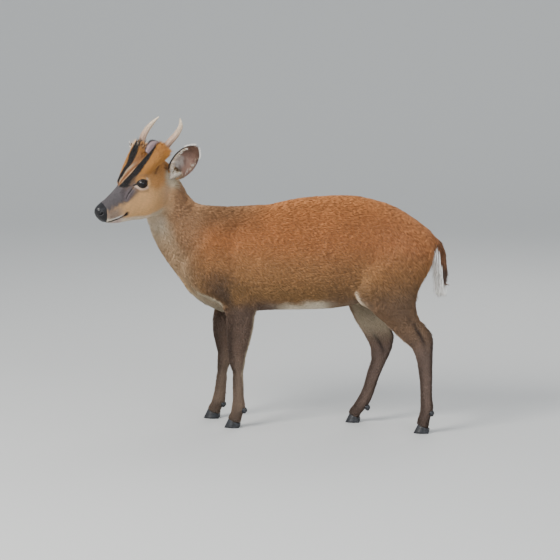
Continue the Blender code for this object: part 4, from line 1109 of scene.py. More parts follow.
LIE_ON_BODY = [
    ((-0.258, 0.020, 0.633), (0.45, 0.3, -0.75)),
    ((-0.205, 0.000, 0.575), (0.35, 0, -0.90)),
    ((-0.150, 0.000, 0.535), (0.90, 0, -0.20)),
    ((-0.295, -0.010, 0.540), (0.30, 0, -0.95)),
    ((-0.287, -0.010, 0.478), (0.25, 0, -0.95)),
    ((-0.250, 0.000, 0.400), (0.40, 0, -0.90)),
    ((-0.190, 0.000, 0.320), (0.80, 0, -0.60)),
    ((-0.240, 0.045, 0.490), (0.50, 0, -0.85)),
    ((-0.200, 0.050, 0.420), (0.60, 0, -0.80)),
    ((-0.150, 0.070, 0.470), (0.85, 0, -0.50)),
    ((-0.100, 0.080, 0.420), (0.85, 0, -0.52)),
    ((-0.120, 0.080, 0.350), (0.60, 0, -0.80)),
    ((-0.060, 0.080, 0.320), (0.50, 0, -0.86)),
    ((0.000, 0.000, 0.545), (1, 0, -0.02)),
    ((0.150, 0.000, 0.565), (1, 0, -0.02)),
    ((0.280, 0.000, 0.550), (0.95, 0, -0.30)),
    ((0.360, 0.000, 0.510), (0.70, 0, -0.70)),
    ((0.405, 0.000, 0.430), (0.10, 0, -1)),
    ((0.000, 0.085, 0.450), (0.96, 0, -0.28)),
    ((0.100, 0.095, 0.450), (0.97, 0, -0.25)),
    ((0.200, 0.090, 0.450), (0.93, 0, -0.36)),
    ((0.000, 0.080, 0.350), (0.94, 0, -0.34)),
    ((0.100, 0.085, 0.330), (0.97, 0, -0.25)),
    ((0.180, 0.080, 0.340), (0.94, 0, -0.34)),
    ((0.100, 0.000, 0.285), (1, 0, 0)),
    ((-0.060, 0.000, 0.275), (1, 0, 0)),
    ((0.220, 0.030, 0.320), (0.85, 0, 0.20)),
    ((0.300, 0.090, 0.420), (0.70, 0, -0.70)),
    ((0.370, 0.060, 0.430), (0.45, 0, -0.90)),
    ((0.300, 0.090, 0.340), (0.60, 0, -0.80)),
    ((-0.060, 0.057, 0.250), (0.10, 0, -1)),
    ((-0.063, 0.056, 0.150), (0, 0, -1)),
    ((-0.063, 0.055, 0.050), (-0.1, 0, -1)),
    ((-0.110, 0.057, 0.230), (-0.10, 0, -1)),
    ((-0.120, 0.056, 0.150), (-0.1, 0, -1)),
    ((-0.130, 0.055, 0.050), (-0.25, 0, -1)),
]
LIE_ON_ONE_HINDLEG = {
    -1: [
        ((0.340, 0.2600), (0.75, -0.66)),
        ((0.380, 0.2100), (0.45, -0.90)),
        ((0.388, 0.1500), (0.05, -1)),
        ((0.390, 0.0600), (0.00, -1)),
    ],
    1: [
        ((0.250, 0.2700), (0.55, -0.83)),
        ((0.268, 0.2100), (0.35, -0.94)),
        ((0.262, 0.1500), (-0.25, -1)),
        ((0.215, 0.0500), (-0.45, -0.90)),
    ],
}


def lie_of_coat(points, normals):
    roots, ways = [], []
    for place, way in LIE_ON_HEAD:
        for side in (1, -1) if place[1] else (1,):
            roots.append(in_head(*on_side(place, side)))
            ways.append(head_way(way, side))
    for place, way in LIE_ON_BODY:
        for side in (1, -1) if place[1] > 0.015 else (1,):
            roots.append(Vector(on_side(place, side)) + Vector(SHIFT))
            ways.append(Vector(on_side(way, side)).normalized())
    for side, rows in LIE_ON_ONE_HINDLEG.items():
        for (x, z), (along, drop) in rows:
            roots.append(Vector((x, 0.056 * side, z)) + Vector(SHIFT))
            ways.append(Vector((along, 0, drop)).normalized())
    total = np.zeros_like(points)
    for root, way in zip(roots, ways):
        distance = ((points - np.array(root)) ** 2).sum(axis=1)
        total += np.array(way) / (distance + 0.00012)[:, None] ** 2
    for side in (1, -1):
        root, way, _, across_way = ear_frame(side)
        share, across, towards = ear_places(points, side)
        leaf = fade(share, 0.10, 0.24) * in_leaf(share, across, towards)
        fan = np.array(way) + across[:, None] * 12 * np.array(across_way)
        total = total * (1 - leaf)[:, None] / (np.linalg.norm(total, axis=1)[:, None] + 1e-9)
        total += fan * leaf[:, None]
    total -= normals * (total * normals).sum(axis=1)[:, None]
    return total / (np.linalg.norm(total, axis=1)[:, None] + 1e-12)


store(skin.data, "lie", "FLOAT_VECTOR", lie_of_coat(points, normals))


# The unwrap of the skin's own shape: one strip for each limb, laid out round and along it, so
# that every tuft of hair has its own small patch at its root's place.
def corners_of(mesh):
    """The number of the point at each corner of the mesh's faces."""
    found = np.empty(len(mesh.loops), np.int64)
    mesh.loops.foreach_get("vertex_index", found)
    return found


def unwrapped(mesh):
    """Charts 0 trunk and neck, 1 head, 2 to 5 legs, 6 and 7 ears, each laid in a box of its own."""
    corners = places_of(mesh)[corners_of(mesh)].reshape(-1, 3, 3)
    middle = corners.mean(axis=1)
    design = middle - SHIFT
    chart = np.zeros(len(middle), int)
    chart[on_head(middle) > 0.5] = 1
    leg = design[:, 2] < np.where(design[:, 0] > 0.12, 0.24 + 0.5 * np.maximum(design[:, 0] - 0.2, 0), 0.262)
    chart[leg & (design[:, 0] < 0.12) & (design[:, 1] < 0)] = 2
    chart[leg & (design[:, 0] < 0.12) & (design[:, 1] >= 0)] = 3
    chart[leg & (design[:, 0] >= 0.12) & (design[:, 1] < 0)] = 4
    chart[leg & (design[:, 0] >= 0.12) & (design[:, 1] >= 0)] = 5
    for number, side in ((6, 1), (7, -1)):
        share, across, towards = ear_places(middle, side)
        chart[(share > 0.15) & in_leaf(share, across, towards)] = number
    uv = np.zeros((len(middle), 3, 2))
    boxes = {
        0: (0.02, 0.52, 0.96, 0.46), 1: (0.02, 0.28, 0.46, 0.22),
        2: (0.02, 0.02, 0.10, 0.22), 3: (0.14, 0.02, 0.10, 0.22),
        4: (0.26, 0.02, 0.10, 0.22), 5: (0.38, 0.02, 0.10, 0.22),
        6: (0.52, 0.02, 0.22, 0.46), 7: (0.76, 0.02, 0.22, 0.46),
    }
    for number, (x0, y0, wide, high) in boxes.items():
        chosen = np.nonzero(chart == number)[0]
        if not len(chosen):
            continue
        place = corners[chosen]
        if number == 0:
            along, across, up = place[..., 0], place[..., 1] - SHIFT[1], place[..., 2] - 0.42
        elif number == 1:
            local = (place - np.array(NOSE_TIP)) @ HEAD_AXES.T
            along, across, up = local[..., 0], local[..., 1], local[..., 2] + 0.01
        elif number < 6:
            flat = place.reshape(-1, 3)
            bent = np.polyfit(flat[:, 2], flat[:, 0], 3)
            along = place[..., 2]
            across = place[..., 1] - SHIFT[1] - (0.056 if number % 2 else -0.056)
            up = place[..., 0] - np.polyval(bent, place[..., 2])
        else:
            share, across, towards = ear_places(place.reshape(-1, 3), 1 if number == 6 else -1)
            along = share.reshape(place.shape[:2])
            across = across.reshape(place.shape[:2])
            up = towards.reshape(place.shape[:2]) - 0.004
        angle = np.arctan2(across, up)
        centre = np.arctan2(across.mean(axis=1), up.mean(axis=1))[:, None]
        angle = centre + (angle - centre + math.pi) % (2 * math.pi) - math.pi
        low, high_end = along.min(), along.max()
        uv[chosen, :, 0] = x0 + wide * (along - low) / (high_end - low)
        uv[chosen, :, 1] = y0 + high * (angle / (2 * math.pi) + 0.5)
    return uv


store(skin.data, "unwrap", "FLOAT2", unwrapped(skin.data), "CORNER")

# Hair length by place, in metres.
HAIR_BODY, HAIR_NECK, HAIR_LEG, HAIR_FACE = 0.0180, 0.0160, 0.0074, 0.0042


def hair_length(points):
    x, _, z = (points - SHIFT).T
    back, across, high = head_places(points).T
    left = np.abs(across)
    length = HAIR_LEG + (HAIR_BODY - HAIR_LEG) * fade(z, 0.17, 0.36)
    length = length + (HAIR_NECK - length) * fade(x, -0.12, -0.20) * (z > 0.3)
    face = HAIR_FACE * (0.62 + 0.38 * fade(back, 0.02, 0.06)) + 0.0040 * fade(back, 0.13, 0.20)
    length = length + (face - length) * on_head(points)
    tops = fade(back, 0.150, 0.205) * fade(high, 0.035, 0.060) * (left > 0.012)
    length = length + 0.0060 * tops * on_head(points)
    ears = on_ear(points)
    length = length + (0.0052 - length) * ears
    for eye in (1, -1):
        rim, a, b, c = past_rim(points, eye)
        near = (c > 0) * fade(np.hypot(a, b), 0.030, 0.020)
        length = length + (0.0014 + 0.22 * np.clip(rim, 0, 0.012) - length) * near * fade(rim, 0.012, 0.006)
    return length


def bare(points, wet):
    """1 where no hair grows: nose, lid edges, slits and the line of the mouth."""
    h = head_places(points)
    found = fade(wet, 0.3, 0.6)
    slit = near_line(h[:, [0, 2]], GLAND_SLIT)[0]
    found = np.maximum(found, fade(slit, 0.0022, 0.0012) * (np.abs(h[:, 1]) > 0.012) * on_head(points))
    gap = np.abs(h[:, 2] - mouth_line(h[:, 0]))
    found = np.maximum(found, fade(gap, 0.0020, 0.0010) * (h[:, 0] < 0.072) * on_head(points))
    for eye in (1, -1):
        rim, a, b, c = past_rim(points, eye)
        found = np.maximum(found, (rim < 0.0018) * (c > 0) * (np.hypot(a, b) < 0.02))
    return np.maximum(found, fade(points[:, 2], 0.020, 0.016))


store(skin.data, "hair_length", "FLOAT", hair_length(points))
store(skin.data, "hair_room", "FLOAT", 1 - bare(points, wet))

# The hide's own finish: matt and finely streaked under the hair, wet and pebbled on the nose.


def principled(name, roughness, specular=0.5):
    """A new material and its shader. A roughness of None is left to be linked."""
    material = bpy.data.materials.new(name)
    material.use_nodes = True
    shader = material.node_tree.nodes["Principled BSDF"]
    shader.inputs["Specular IOR Level"].default_value = specular
    if roughness is not None:
        shader.inputs["Roughness"].default_value = roughness
    return material, shader


def plug(material, node, wanted):
    """Fills a node's inputs with numbers and colours, or links them to other nodes' outputs."""
    for name, value in wanted.items():
        if isinstance(value, bpy.types.NodeSocket):
            material.node_tree.links.new(value, node.inputs[name])
        else:
            node.inputs[name].default_value = value
    return node


def new_node(material, kind, **wanted):
    node = material.node_tree.nodes.new("ShaderNode" + kind)
    return plug(material, node, {name.replace("_", " "): value for name, value in wanted.items()})


def kept_on_mesh(material, name):
    """The values that store left on the mesh under this name."""
    node = new_node(material, "Attribute")
    node.attribute_name = name
    return node.outputs


def pattern(material, kind, **wanted):
    """A procedural texture laid out in the object's own metres."""
    place = new_node(material, "TexCoord").outputs["Object"]
    return new_node(material, kind, Vector=place, **wanted)


def ranged(material, value, low, high, start=0.0, end=1.0):
    node = new_node(material, "MapRange", Value=value, To_Min=low, To_Max=high, From_Min=start, From_Max=end)
    return node.outputs["Result"]


def ramp(material, value, stops):
    """A colour read along stops, each a place from 0 to 1 and a linear colour."""
    node = new_node(material, "ValToRGB", Fac=value)
    elements = node.color_ramp.elements
    for element, (place, colour) in ((elements[0], stops[0]), (elements[1], stops[-1])):
        element.position = place
        element.color = (*colour, 1)
    for place, colour in stops[1:-1]:
        elements.new(place).color = (*colour, 1)
    return node.outputs["Color"]


def times(material, first, second):
    """Two colours multiplied."""
    node = material.node_tree.nodes.new("ShaderNodeMix")
    node.data_type = "RGBA"
    node.blend_type = "MULTIPLY"
    return plug(material, node, {"Factor": 1.0, "A": first, "B": second}).outputs["Result"]


def bumpy(material, height, strength, distance):
    return new_node(material, "Bump", Height=height, Strength=strength, Distance=distance).outputs["Normal"]


hide, shader = principled("hide", None, 0.34)
wetness = kept_on_mesh(hide, "wet")["Fac"]
fleck = pattern(hide, "TexNoise", Scale=900.0, Detail=3.0).outputs["Fac"]
pebble = pattern(hide, "TexVoronoi", Scale=950.0).outputs["Distance"]
pebbled_height = new_node(hide, "Math")
pebbled_height.operation = "MULTIPLY_ADD"
for socket, output in zip(pebbled_height.inputs, (pebble, wetness, fleck)):
    hide.node_tree.links.new(output, socket)
plug(hide, shader, {
    "Base Color": times(hide, kept_on_mesh(hide, "marking")["Color"], ranged(hide, fleck, 0.55, 0.95)),
    "Roughness": ranged(hide, wetness, 0.80, 0.24),
    "Normal": bumpy(hide, pebbled_height.outputs[0], 0.35, 0.0006),
})


def finished_in(mesh, material):
    """Gives the whole mesh one material."""
    mesh.materials.clear()
    mesh.materials.append(material)
    mesh.polygons.foreach_set("material_index", [0] * len(mesh.polygons))


finished_in(skin.data, hide)
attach(skin, "root")
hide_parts(*FLESH, "ear_left", "ear_right", "tail", "nose_pad")

# The coat: short guard hair in fine tufts that lie along the body. Each tuft is a closed, bent
# blade set in the skin at its root; long ones on the body, tiny ones on the face and feet.
PATCH_SIZE = 0.003


def blade(name, rows, flat):
    """A tapered blade along +Y, one unit long and one wide: rows of place, height and width."""
    points, faces = [], []
    for along, height, wide in rows:
        if wide:
            points += [(-wide / 2, along, height), (wide / 2, along, height), (0, along, height + flat)]
        else:
            points.append((0, along, height))
    count = len(points)
    start = 0
    if not rows[0][2]:
        faces += [(0, 2, 1), (0, 3, 2), (0, 1, 3)]
        start = 1
    else:
        faces.append((0, 1, 2))
    for i in range(sum(1 for r in rows if r[2]) - 1):
        a = start + 3 * i
        for j in range(3):
            k = (j + 1) % 3
            faces.append((a + j, a + k, a + 3 + k, a + 3 + j))
    a = count - 4
    faces += [(a, a + 1, count - 1), (a + 1, a + 2, count - 1), (a + 2, a, count - 1)]
    obj = new_object(name, points, faces)
    place = places_of(obj.data)
    store(obj.data, "along", "FLOAT", place[:, 1])
    patch = np.stack([place[:, 0] + 0.5, place[:, 1]], 1)
    store(obj.data, "patch", "FLOAT2", patch[corners_of(obj.data)], "CORNER")
    obj.hide_render = True
    return obj


short_tuft = blade("short_tuft", [(0.0, -0.10, 0), (0.42, 0.075, 1.0), (1.0, 0.030, 0)], 0.05)


def coat_tree():
    """Grows one coat: tufts spread over its part of the skin, laid along the lie of the coat."""
    tree = bpy.data.node_groups.new("Coat Tufts", "GeometryNodeTree")
    face = tree.interface
    face.new_socket("Geometry", in_out="INPUT", socket_type="NodeSocketGeometry")
    for name, kind in (
        ("Piece", "Int"), ("Tuft", "Object"), ("Seed", "Int"), ("Coverage", "Float"), ("Slimness", "Float"),
        ("Least Width", "Float"), ("Lift", "Float"), ("Untidiness", "Float"), ("Hair", "Material"),
    ):
        face.new_socket(name, in_out="INPUT", socket_type="NodeSocket" + kind)
    face.new_socket("Geometry", in_out="OUTPUT", socket_type="NodeSocketGeometry")
    add, link = tree.nodes.new, tree.links.new
    given, result = add("NodeGroupInput"), add("NodeGroupOutput")

    def read(name, kind="FLOAT"):
        node = add("GeometryNodeInputNamedAttribute")
        node.data_type = kind
        node.inputs["Name"].default_value = name
        return node.outputs["Attribute"]

    def sum_of(operation, a, b):
        node = add("ShaderNodeMath")
        node.operation = operation
        for socket, value in zip(node.inputs, (a, b)):
            if isinstance(value, (int, float)):
                socket.default_value = value
            else:
                link(value, socket)
        return node.outputs[0]

    def random_between(low, high, seed):
        node = add("FunctionNodeRandomValue")
        node.data_type = "FLOAT"
        node.inputs[2].default_value = low
        node.inputs[3].default_value = high
        node.inputs["Seed"].default_value = seed
        return node.outputs[1]

    unlike = add("FunctionNodeCompare")
    unlike.data_type = "INT"
    unlike.operation = "NOT_EQUAL"
    link(read("piece", "INT"), unlike.inputs[2])
    link(given.outputs["Piece"], unlike.inputs[3])
    cut = add("GeometryNodeDeleteGeometry")
    cut.domain = "FACE"
    link(given.outputs["Geometry"], cut.inputs["Geometry"])
    link(unlike.outputs[0], cut.inputs["Selection"])

    length = read("hair_length")
    width = sum_of("ADD", sum_of("MULTIPLY", length, given.outputs["Slimness"]), given.outputs["Least Width"])
    room = sum_of("MULTIPLY", sum_of("MULTIPLY", length, width), 0.55)
    density = sum_of("DIVIDE", sum_of("MULTIPLY", given.outputs["Coverage"], read("hair_room")), room)
    spread = add("GeometryNodeDistributePointsOnFaces")
    link(cut.outputs[0], spread.inputs["Mesh"])
    link(density, spread.inputs["Density"])
    link(given.outputs["Seed"], spread.inputs["Seed"])

    shade = add("GeometryNodeStoreNamedAttribute")
    shade.data_type = "FLOAT"
    shade.inputs["Name"].default_value = "shade"
    link(spread.outputs["Points"], shade.inputs["Geometry"])
    link(random_between(0.0, 1.0, 11), shade.inputs["Value"])

    stand = add("FunctionNodeAxesToRotation")
    stand.primary_axis = "Z"
    stand.secondary_axis = "Y"
    link(spread.outputs["Normal"], stand.inputs[0])
    link(read("lie", "FLOAT_VECTOR"), stand.inputs[1])
    lean = add("ShaderNodeCombineXYZ")
    link(sum_of("MULTIPLY", given.outputs["Lift"], random_between(0.5, 1.5, 21)), lean.inputs["X"])
    link(sum_of("MULTIPLY", given.outputs["Untidiness"], random_between(-0.6, 0.6, 22)), lean.inputs["Y"])
    link(sum_of("MULTIPLY", given.outputs["Untidiness"], random_between(-1.0, 1.0, 23)), lean.inputs["Z"])
    turn = add("FunctionNodeEulerToRotation")
    link(lean.outputs[0], turn.inputs[0])
    both = add("FunctionNodeRotateRotation")
    both.rotation_space = "LOCAL"
    link(stand.outputs[0], both.inputs[0])
    link(turn.outputs[0], both.inputs[1])

    size = add("ShaderNodeCombineXYZ")
    link(sum_of("MULTIPLY", width, random_between(0.75, 1.25, 31)), size.inputs["X"])
    long = sum_of("MULTIPLY", length, random_between(0.75, 1.2, 32))
    link(long, size.inputs["Y"])
    link(long, size.inputs["Z"])

    tuft = add("GeometryNodeObjectInfo")
    link(given.outputs["Tuft"], tuft.inputs[0])
    grow = add("GeometryNodeInstanceOnPoints")
    link(shade.outputs["Geometry"], grow.inputs["Points"])
    link(tuft.outputs["Geometry"], grow.inputs["Instance"])
    link(both.outputs[0], grow.inputs["Rotation"])
    link(size.outputs[0], grow.inputs["Scale"])
    real = add("GeometryNodeRealizeInstances")
    link(grow.outputs[0], real.inputs[0])

    patch = add("ShaderNodeVectorMath")
    patch.operation = "SCALE"
    patch.inputs["Scale"].default_value = PATCH_SIZE
    link(read("patch", "FLOAT_VECTOR"), patch.inputs[0])
    place = add("ShaderNodeVectorMath")
    place.operation = "ADD"
    link(read("unwrap", "FLOAT_VECTOR"), place.inputs[0])
    link(patch.outputs[0], place.inputs[1])
    bake = add("GeometryNodeStoreNamedAttribute")
    bake.data_type = "FLOAT2"
    bake.domain = "CORNER"
    bake.inputs["Name"].default_value = "OFBake"
    link(real.outputs[0], bake.inputs["Geometry"])
    link(place.outputs[0], bake.inputs["Value"])
    finish = add("GeometryNodeSetMaterial")
    link(bake.outputs[0], finish.inputs["Geometry"])
    link(given.outputs["Hair"], finish.inputs["Material"])
    link(finish.outputs[0], result.inputs[0])
    return tree


hair, shader = principled("guard_hair", 0.55, 0.20)
shader.inputs["Sheen Weight"].default_value = 0.07
root_to_tip = ramp(hair, kept_on_mesh(hair, "along")["Fac"], [
    (0.0, (0.62, 0.58, 0.55)), (0.62, (1.0, 1.0, 1.0)), (1.0, (1.12, 1.09, 1.04)),
])
tone = times(hair, kept_on_mesh(hair, "marking")["Color"], root_to_tip)
uneven = ranged(hair, kept_on_mesh(hair, "shade")["Fac"], 0.88, 1.10)
plug(hair, shader, {"Base Color": times(hair, tone, uneven)})

# Each coat's coverage, slimness, least width, lift and untidiness. Their order numbers them.
BODY_COAT = (2.40, 0.040, 0.00028, 0.12, 0.02)
LEG_COAT = (1.55, 0.070, 0.00035, 0.17, 0.14)
COATS = {
    "coat_face": (1.45, 0.055, 0.00040, 0.12, 0.22),
    "coat_head": (1.70, 0.055, 0.00042, 0.18, 0.25),
    "coat_neck": (2.30, 0.042, 0.00028, 0.17, 0.09),
    "coat_left_front": BODY_COAT,
    "coat_left_rear": BODY_COAT,
    "coat_right_front": BODY_COAT,
    "coat_right_rear": BODY_COAT,
    "coat_forelegs": LEG_COAT,
    "coat_hindlegs": LEG_COAT,
    "coat_ears": (1.30, 0.055, 0.00036, 0.22, 0.25),
}


def coat_piece_of(middle):
    """Which coat each face of the skin grows, as a place in COATS."""
    design = middle - SHIFT
    x, y, z = design.T
    h = head_places(middle)
    piece = np.where(x < 0.12, np.where(y < 0, 3, 5), np.where(y < 0, 4, 6))
    piece = np.where((x < -0.15) & (z > 0.30), 2, piece)
    low = z < np.where(x > 0.12, 0.27, 0.262)
    piece = np.where(low & (x < 0.12), 7, piece)
    piece = np.where(low & (x >= 0.12), 8, piece)
    head = on_head(middle) > 0.5
    piece = np.where(head, np.where(h[:, 0] < 0.125, 0, 1), piece)
    return np.where(on_ear(middle) > 0.5, 9, piece)


middle = places_of(skin.data)[corners_of(skin.data)].reshape(-1, 3, 3).mean(axis=1)
store(skin.data, "piece", "INT", coat_piece_of(middle), "FACE")
tree = coat_tree()
sockets = {s.name: s.identifier for s in tree.interface.items_tree if s.in_out == "INPUT"}
for number, (name, (coverage, slim, least, lift, untidy)) in enumerate(COATS.items()):
    field = linked(name, skin.data)
    grow = field.modifiers.new("grow", "NODES")
    grow.node_group = tree
    for key, value in (
        ("Piece", number), ("Tuft", short_tuft), ("Seed", 40 + number), ("Coverage", coverage),
        ("Slimness", slim), ("Least Width", least), ("Lift", lift), ("Untidiness", untidy), ("Hair", hair),
    ):
        grow[sockets[key]] = value
    depsgraph = bpy.context.evaluated_depsgraph_get()
    mesh = bpy.data.meshes.new_from_object(field.evaluated_get(depsgraph))
    field.modifiers.clear()
    field.data = mesh
    mesh.name = name
    for layer in ("lie", "hair_length", "hair_room", "piece", "wet", "unwrap", "patch"):
        if layer in mesh.attributes:
            mesh.attributes.remove(mesh.attributes[layer])
    smooth(mesh)
    print(name, "triangles", triangles_of(mesh))
    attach(field, "root")
bpy.data.objects.remove(short_tuft)

# Eyes: a glass eyeball, dark brown, with a wide lying pupil painted on its bulging front.
EYE_RINGS, EYE_SIDES = 40, 64


def eyeball(name, side):
    centre, looks, along, across = lid_frame(side)
    points, faces = [], []
    for i in range(1, EYE_RINGS):
        polar = math.pi * i / EYE_RINGS
        bulge = 0.0009 * math.exp(-((polar / 0.55) ** 4))
        radius = EYE_RADIUS - 0.0002 + bulge
        for j in range(EYE_SIDES):
            angle = 2 * math.pi * j / EYE_SIDES
            flat = (along * math.cos(angle) + across * math.sin(angle)) * math.sin(polar)
            points.append(centre + (flat + looks * math.cos(polar)) * radius)
    for i in range(EYE_RINGS - 2):
        for j in range(EYE_SIDES):
            a, b = i * EYE_SIDES + j, i * EYE_SIDES + (j + 1) % EYE_SIDES
            faces.append((a, b, b + EYE_SIDES, a + EYE_SIDES))
    points.append(centre + looks * (EYE_RADIUS + 0.0007))
    faces += [(j, (j + 1) % EYE_SIDES, len(points) - 1) for j in range(EYE_SIDES)]
    points.append(centre - looks * (EYE_RADIUS - 0.0002))
    last = (EYE_RINGS - 2) * EYE_SIDES
    faces += [(last + j, last + (j + 1) % EYE_SIDES, len(points) - 1) for j in range(EYE_SIDES)]
    obj = new_object(name, points, faces)
    offset = places_of(obj.data) - np.array(centre)
    a, b = offset @ np.array(along), offset @ np.array(across)
    front = offset @ np.array(looks) > 0
    from_axis = np.hypot(a, b)
    pupil = fade(np.hypot(a / 0.0052, b / 0.0030), 1.15, 0.85) * front
    iris = fade(from_axis, 0.0102, 0.0094) * front
    streak = 0.8 + 0.3 * np.sin(np.arctan2(b, a) * 37) * np.sin(np.arctan2(b, a) * 23 + 1)
    brown = linear((24, 17, 14)) * streak[:, None] * (0.6 + 0.7 * fade(from_axis, 0.003, 0.0095))[:, None]
    colour = linear((20, 15, 15)) * (1 - iris)[:, None] + brown * iris[:, None]
    colour = colour * (1 - pupil)[:, None] + linear((6, 6, 9)) * pupil[:, None]
    store(obj.data, "glass", "FLOAT_COLOR", colour)
    return obj


eye_glass, shader = principled("eye_glass", 0.05, 0.28)
plug(eye_glass, shader, {"Base Color": kept_on_mesh(eye_glass, "glass")["Color"]})
for side, name in ((1, "glass_eye_left"), (-1, "glass_eye_right")):
    ball = eyeball(name, side)
    finished_in(ball.data, eye_glass)
    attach(ball, "root")
    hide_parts("eye_left" if side > 0 else "eye_right")

# Antlers: plain bone spikes on a beaded burr, furrowed along their length, smooth at the tip.
ANTLER = [
    (0.2085, 0.0440, 0.0766, 0.0084),
    (0.2300, 0.0540, 0.0905, 0.0078),
    (0.2500, 0.0588, 0.1012, 0.0069),
    (0.2695, 0.0548, 0.1118, 0.0051),
    (0.2846, 0.0410, 0.1236, 0.0012),
]
BURR_RADIUS = 0.0108
ANTLER_SIDES = 68


def antler(name, side):
    path = np.array([(*in_head(back, left * side, up), r) for back, left, up, r in ANTLER])
    places = lengths_along(path)
    wanted = places[-1] * np.linspace(0, 1, 90) ** 1.15
    rows = spline(places, path, wanted)
    rng = np.random.default_rng(7 + side)
    bead = rng.uniform(0.6, 1.4, 17)
    rings, ahead = [], np.gradient(rows[:, :3], axis=0)
    guide = CROWN.cross(Vector(ahead[0])).normalized()
    for row, way, far in zip(rows, ahead, wanted):
        way = Vector(way).normalized()
        guide = square_to(way, guide)
        up = way.cross(guide)
        burr = math.exp(-(((far - 0.0022) / 0.0021) ** 2))
        share = far / places[-1]
        ring_points = []
        for j in range(ANTLER_SIDES):
            angle = 2 * math.pi * j / ANTLER_SIDES
            furrow = 0.00028 * math.sin(angle * 9 + 3 * share) + 0.00016 * math.sin(angle * 17 + 1)
            furrow *= fade(share, 0.95, 0.55)
            pearl = 0.0011 * bead[int(j / 4) % 17] * abs(math.sin(angle * 8.5))
            radius = row[3] + furrow + burr * (BURR_RADIUS - ANTLER[0][3] + pearl)
            out = guide * math.cos(angle) + up * math.sin(angle)
            ring_points.append(Vector(row[:3]) + out * max(radius, 0.0004))
        rings.append(ring_points)
    obj = loft(name, rings)
    share = np.concatenate([np.repeat(wanted / places[-1], ANTLER_SIDES), [0, 1]])
    store(obj.data, "along", "FLOAT", share)
    return obj


bone, shader = principled("antler_bone", 0.42)
# Darker at the base, paler towards the tip.
dark_base_pale_tip = ramp(bone, kept_on_mesh(bone, "along")["Fac"], [
    (0.0, linear((122, 92, 76))), (0.35, linear((188, 156, 132))), (1.0, linear((228, 208, 178))),
])
grain = pattern(bone, "TexNoise", Scale=320.0, Detail=5.0).outputs["Fac"]
plug(bone, shader, {
    "Base Color": times(bone, dark_base_pale_tip, ranged(bone, grain, 0.55, 1.05, 0.35, 0.70)),
    "Normal": bumpy(bone, grain, 0.3, 0.0004),
})
for side, name in ((1, "spike_left"), (-1, "spike_right")):
    spike = antler(name, side)
    finished_in(spike.data, bone)
    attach(spike, "root")
    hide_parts("antler_left" if side > 0 else "antler_right")

# Hooves and dewclaws: blue-black horn, each claw of the cloven foot its own piece, with rings
# of growth round the wall and paler patches of dried mud.
HORN_GRID = 0.0007
HORN_KEPT = 0.30
horn, shader = principled("hoof_horn", 0.34)
rings_of_growth = pattern(horn, "TexWave", Scale=95.0, Distortion=1.6)
rings_of_growth.bands_direction = "Z"
mud = pattern(horn, "TexNoise", Scale=140.0, Detail=4.0).outputs["Fac"]
plug(horn, shader, {
    "Base Color": ramp(horn, mud, [(0.35, linear((13, 14, 17))), (0.72, linear((34, 36, 42)))]),
    "Normal": bumpy(horn, rings_of_growth.outputs["Fac"], 0.35, 0.0005),
})
for node_name in sorted(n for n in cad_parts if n.startswith(("hoof_", "dewclaw_"))):
    mesh = mesh_from(welded(node_name), node_name.replace("hoof", "claw"))
    claw = linked(mesh.name + "_horn", mesh)
    fuse = claw.modifiers.new("fuse", "REMESH")
    fuse.mode = "VOXEL"
    fuse.voxel_size = HORN_GRID
    applied(claw)
    mesh = claw.data
    soft_points = eased(mesh, places_of(mesh), np.full(len(mesh.vertices), 0.5), 5)
    soft_points[:, 2] = np.maximum(soft_points[:, 2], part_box(node_name)[0].z)
    put_places(mesh, soft_points)
    thin = claw.modifiers.new("thin", "DECIMATE")
    thin.ratio = HORN_KEPT
    applied(claw)
    smooth(claw.data)
    finished_in(claw.data, horn)
    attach(claw, "root")
    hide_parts(node_name)

# The tail's long hair and the tufts of the head. Each lock is a flat tapered strand of long hair,
# closed and rooted in the skin: white ones hang from the dock's inner face and tip, orange ones
# stand round each pedicle, a crest of black hair with a painted grey sheen and a shaded black rim
# rises beside the left one, and pale ones fringe the ears.
LOCK_LEVELS = (0.0, 0.25, 0.5, 0.75)
LOCK_POINTS = 3 * len(LOCK_LEVELS) + 1


def strands(name, locks, seed):
    """One mesh of locks, each given as root, way, droop, side, length, width, colour and UV place."""
    rng = np.random.default_rng(seed)
    points, faces, tint, rising, spot = [], [], [], [], []
    for root, way, droop, side, length, width, shade, place in locks:
        base = len(points)
        for t in LOCK_LEVELS:
            centre = root + way * length * t + droop * length * t * t * 0.5
            w = width * (0.7 + 1.2 * t * (1 - t)) * (1 - t) ** 0.35
            lift = side.cross(way).normalized() * w * 0.35
            points += [centre - side * w / 2, centre + side * w / 2, centre + lift]
            rising += [t] * 3
        points.append(root + way * length + droop * length * 0.5)
        rising.append(1.0)
        faces.append((base, base + 1, base + 2))
        for k in range(len(LOCK_LEVELS) - 1):
            for j in range(3):
                a, b = base + 3 * k + j, base + 3 * k + (j + 1) % 3
                faces.append((a, b, b + 3, a + 3))
        a = base + 3 * (len(LOCK_LEVELS) - 1)
        faces += [(a + j, a + (j + 1) % 3, base + LOCK_POINTS - 1) for j in range(3)]
        tint += [linear(shade)] * LOCK_POINTS
        spot += [place] * LOCK_POINTS
    obj = new_object(name, points, faces)
    mesh = obj.data
    store(mesh, "marking", "FLOAT_COLOR", np.array(tint))
    store(mesh, "along", "FLOAT", np.array(rising))
    store(mesh, "shade", "FLOAT", np.repeat(rng.uniform(0.1, 1, len(locks)), LOCK_POINTS))
    spot = np.array(spot, float)
    spot[:, 1] += np.array(rising) * PATCH_SIZE
    spot[:, 0] += np.tile(np.array([0, 1, 0.5]) * PATCH_SIZE, len(spot))[: len(spot)]
    store(mesh, "OFBake", "FLOAT2", spot[corners_of(mesh)], "CORNER")
    mesh.materials.append(hair)
    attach(obj, "root")


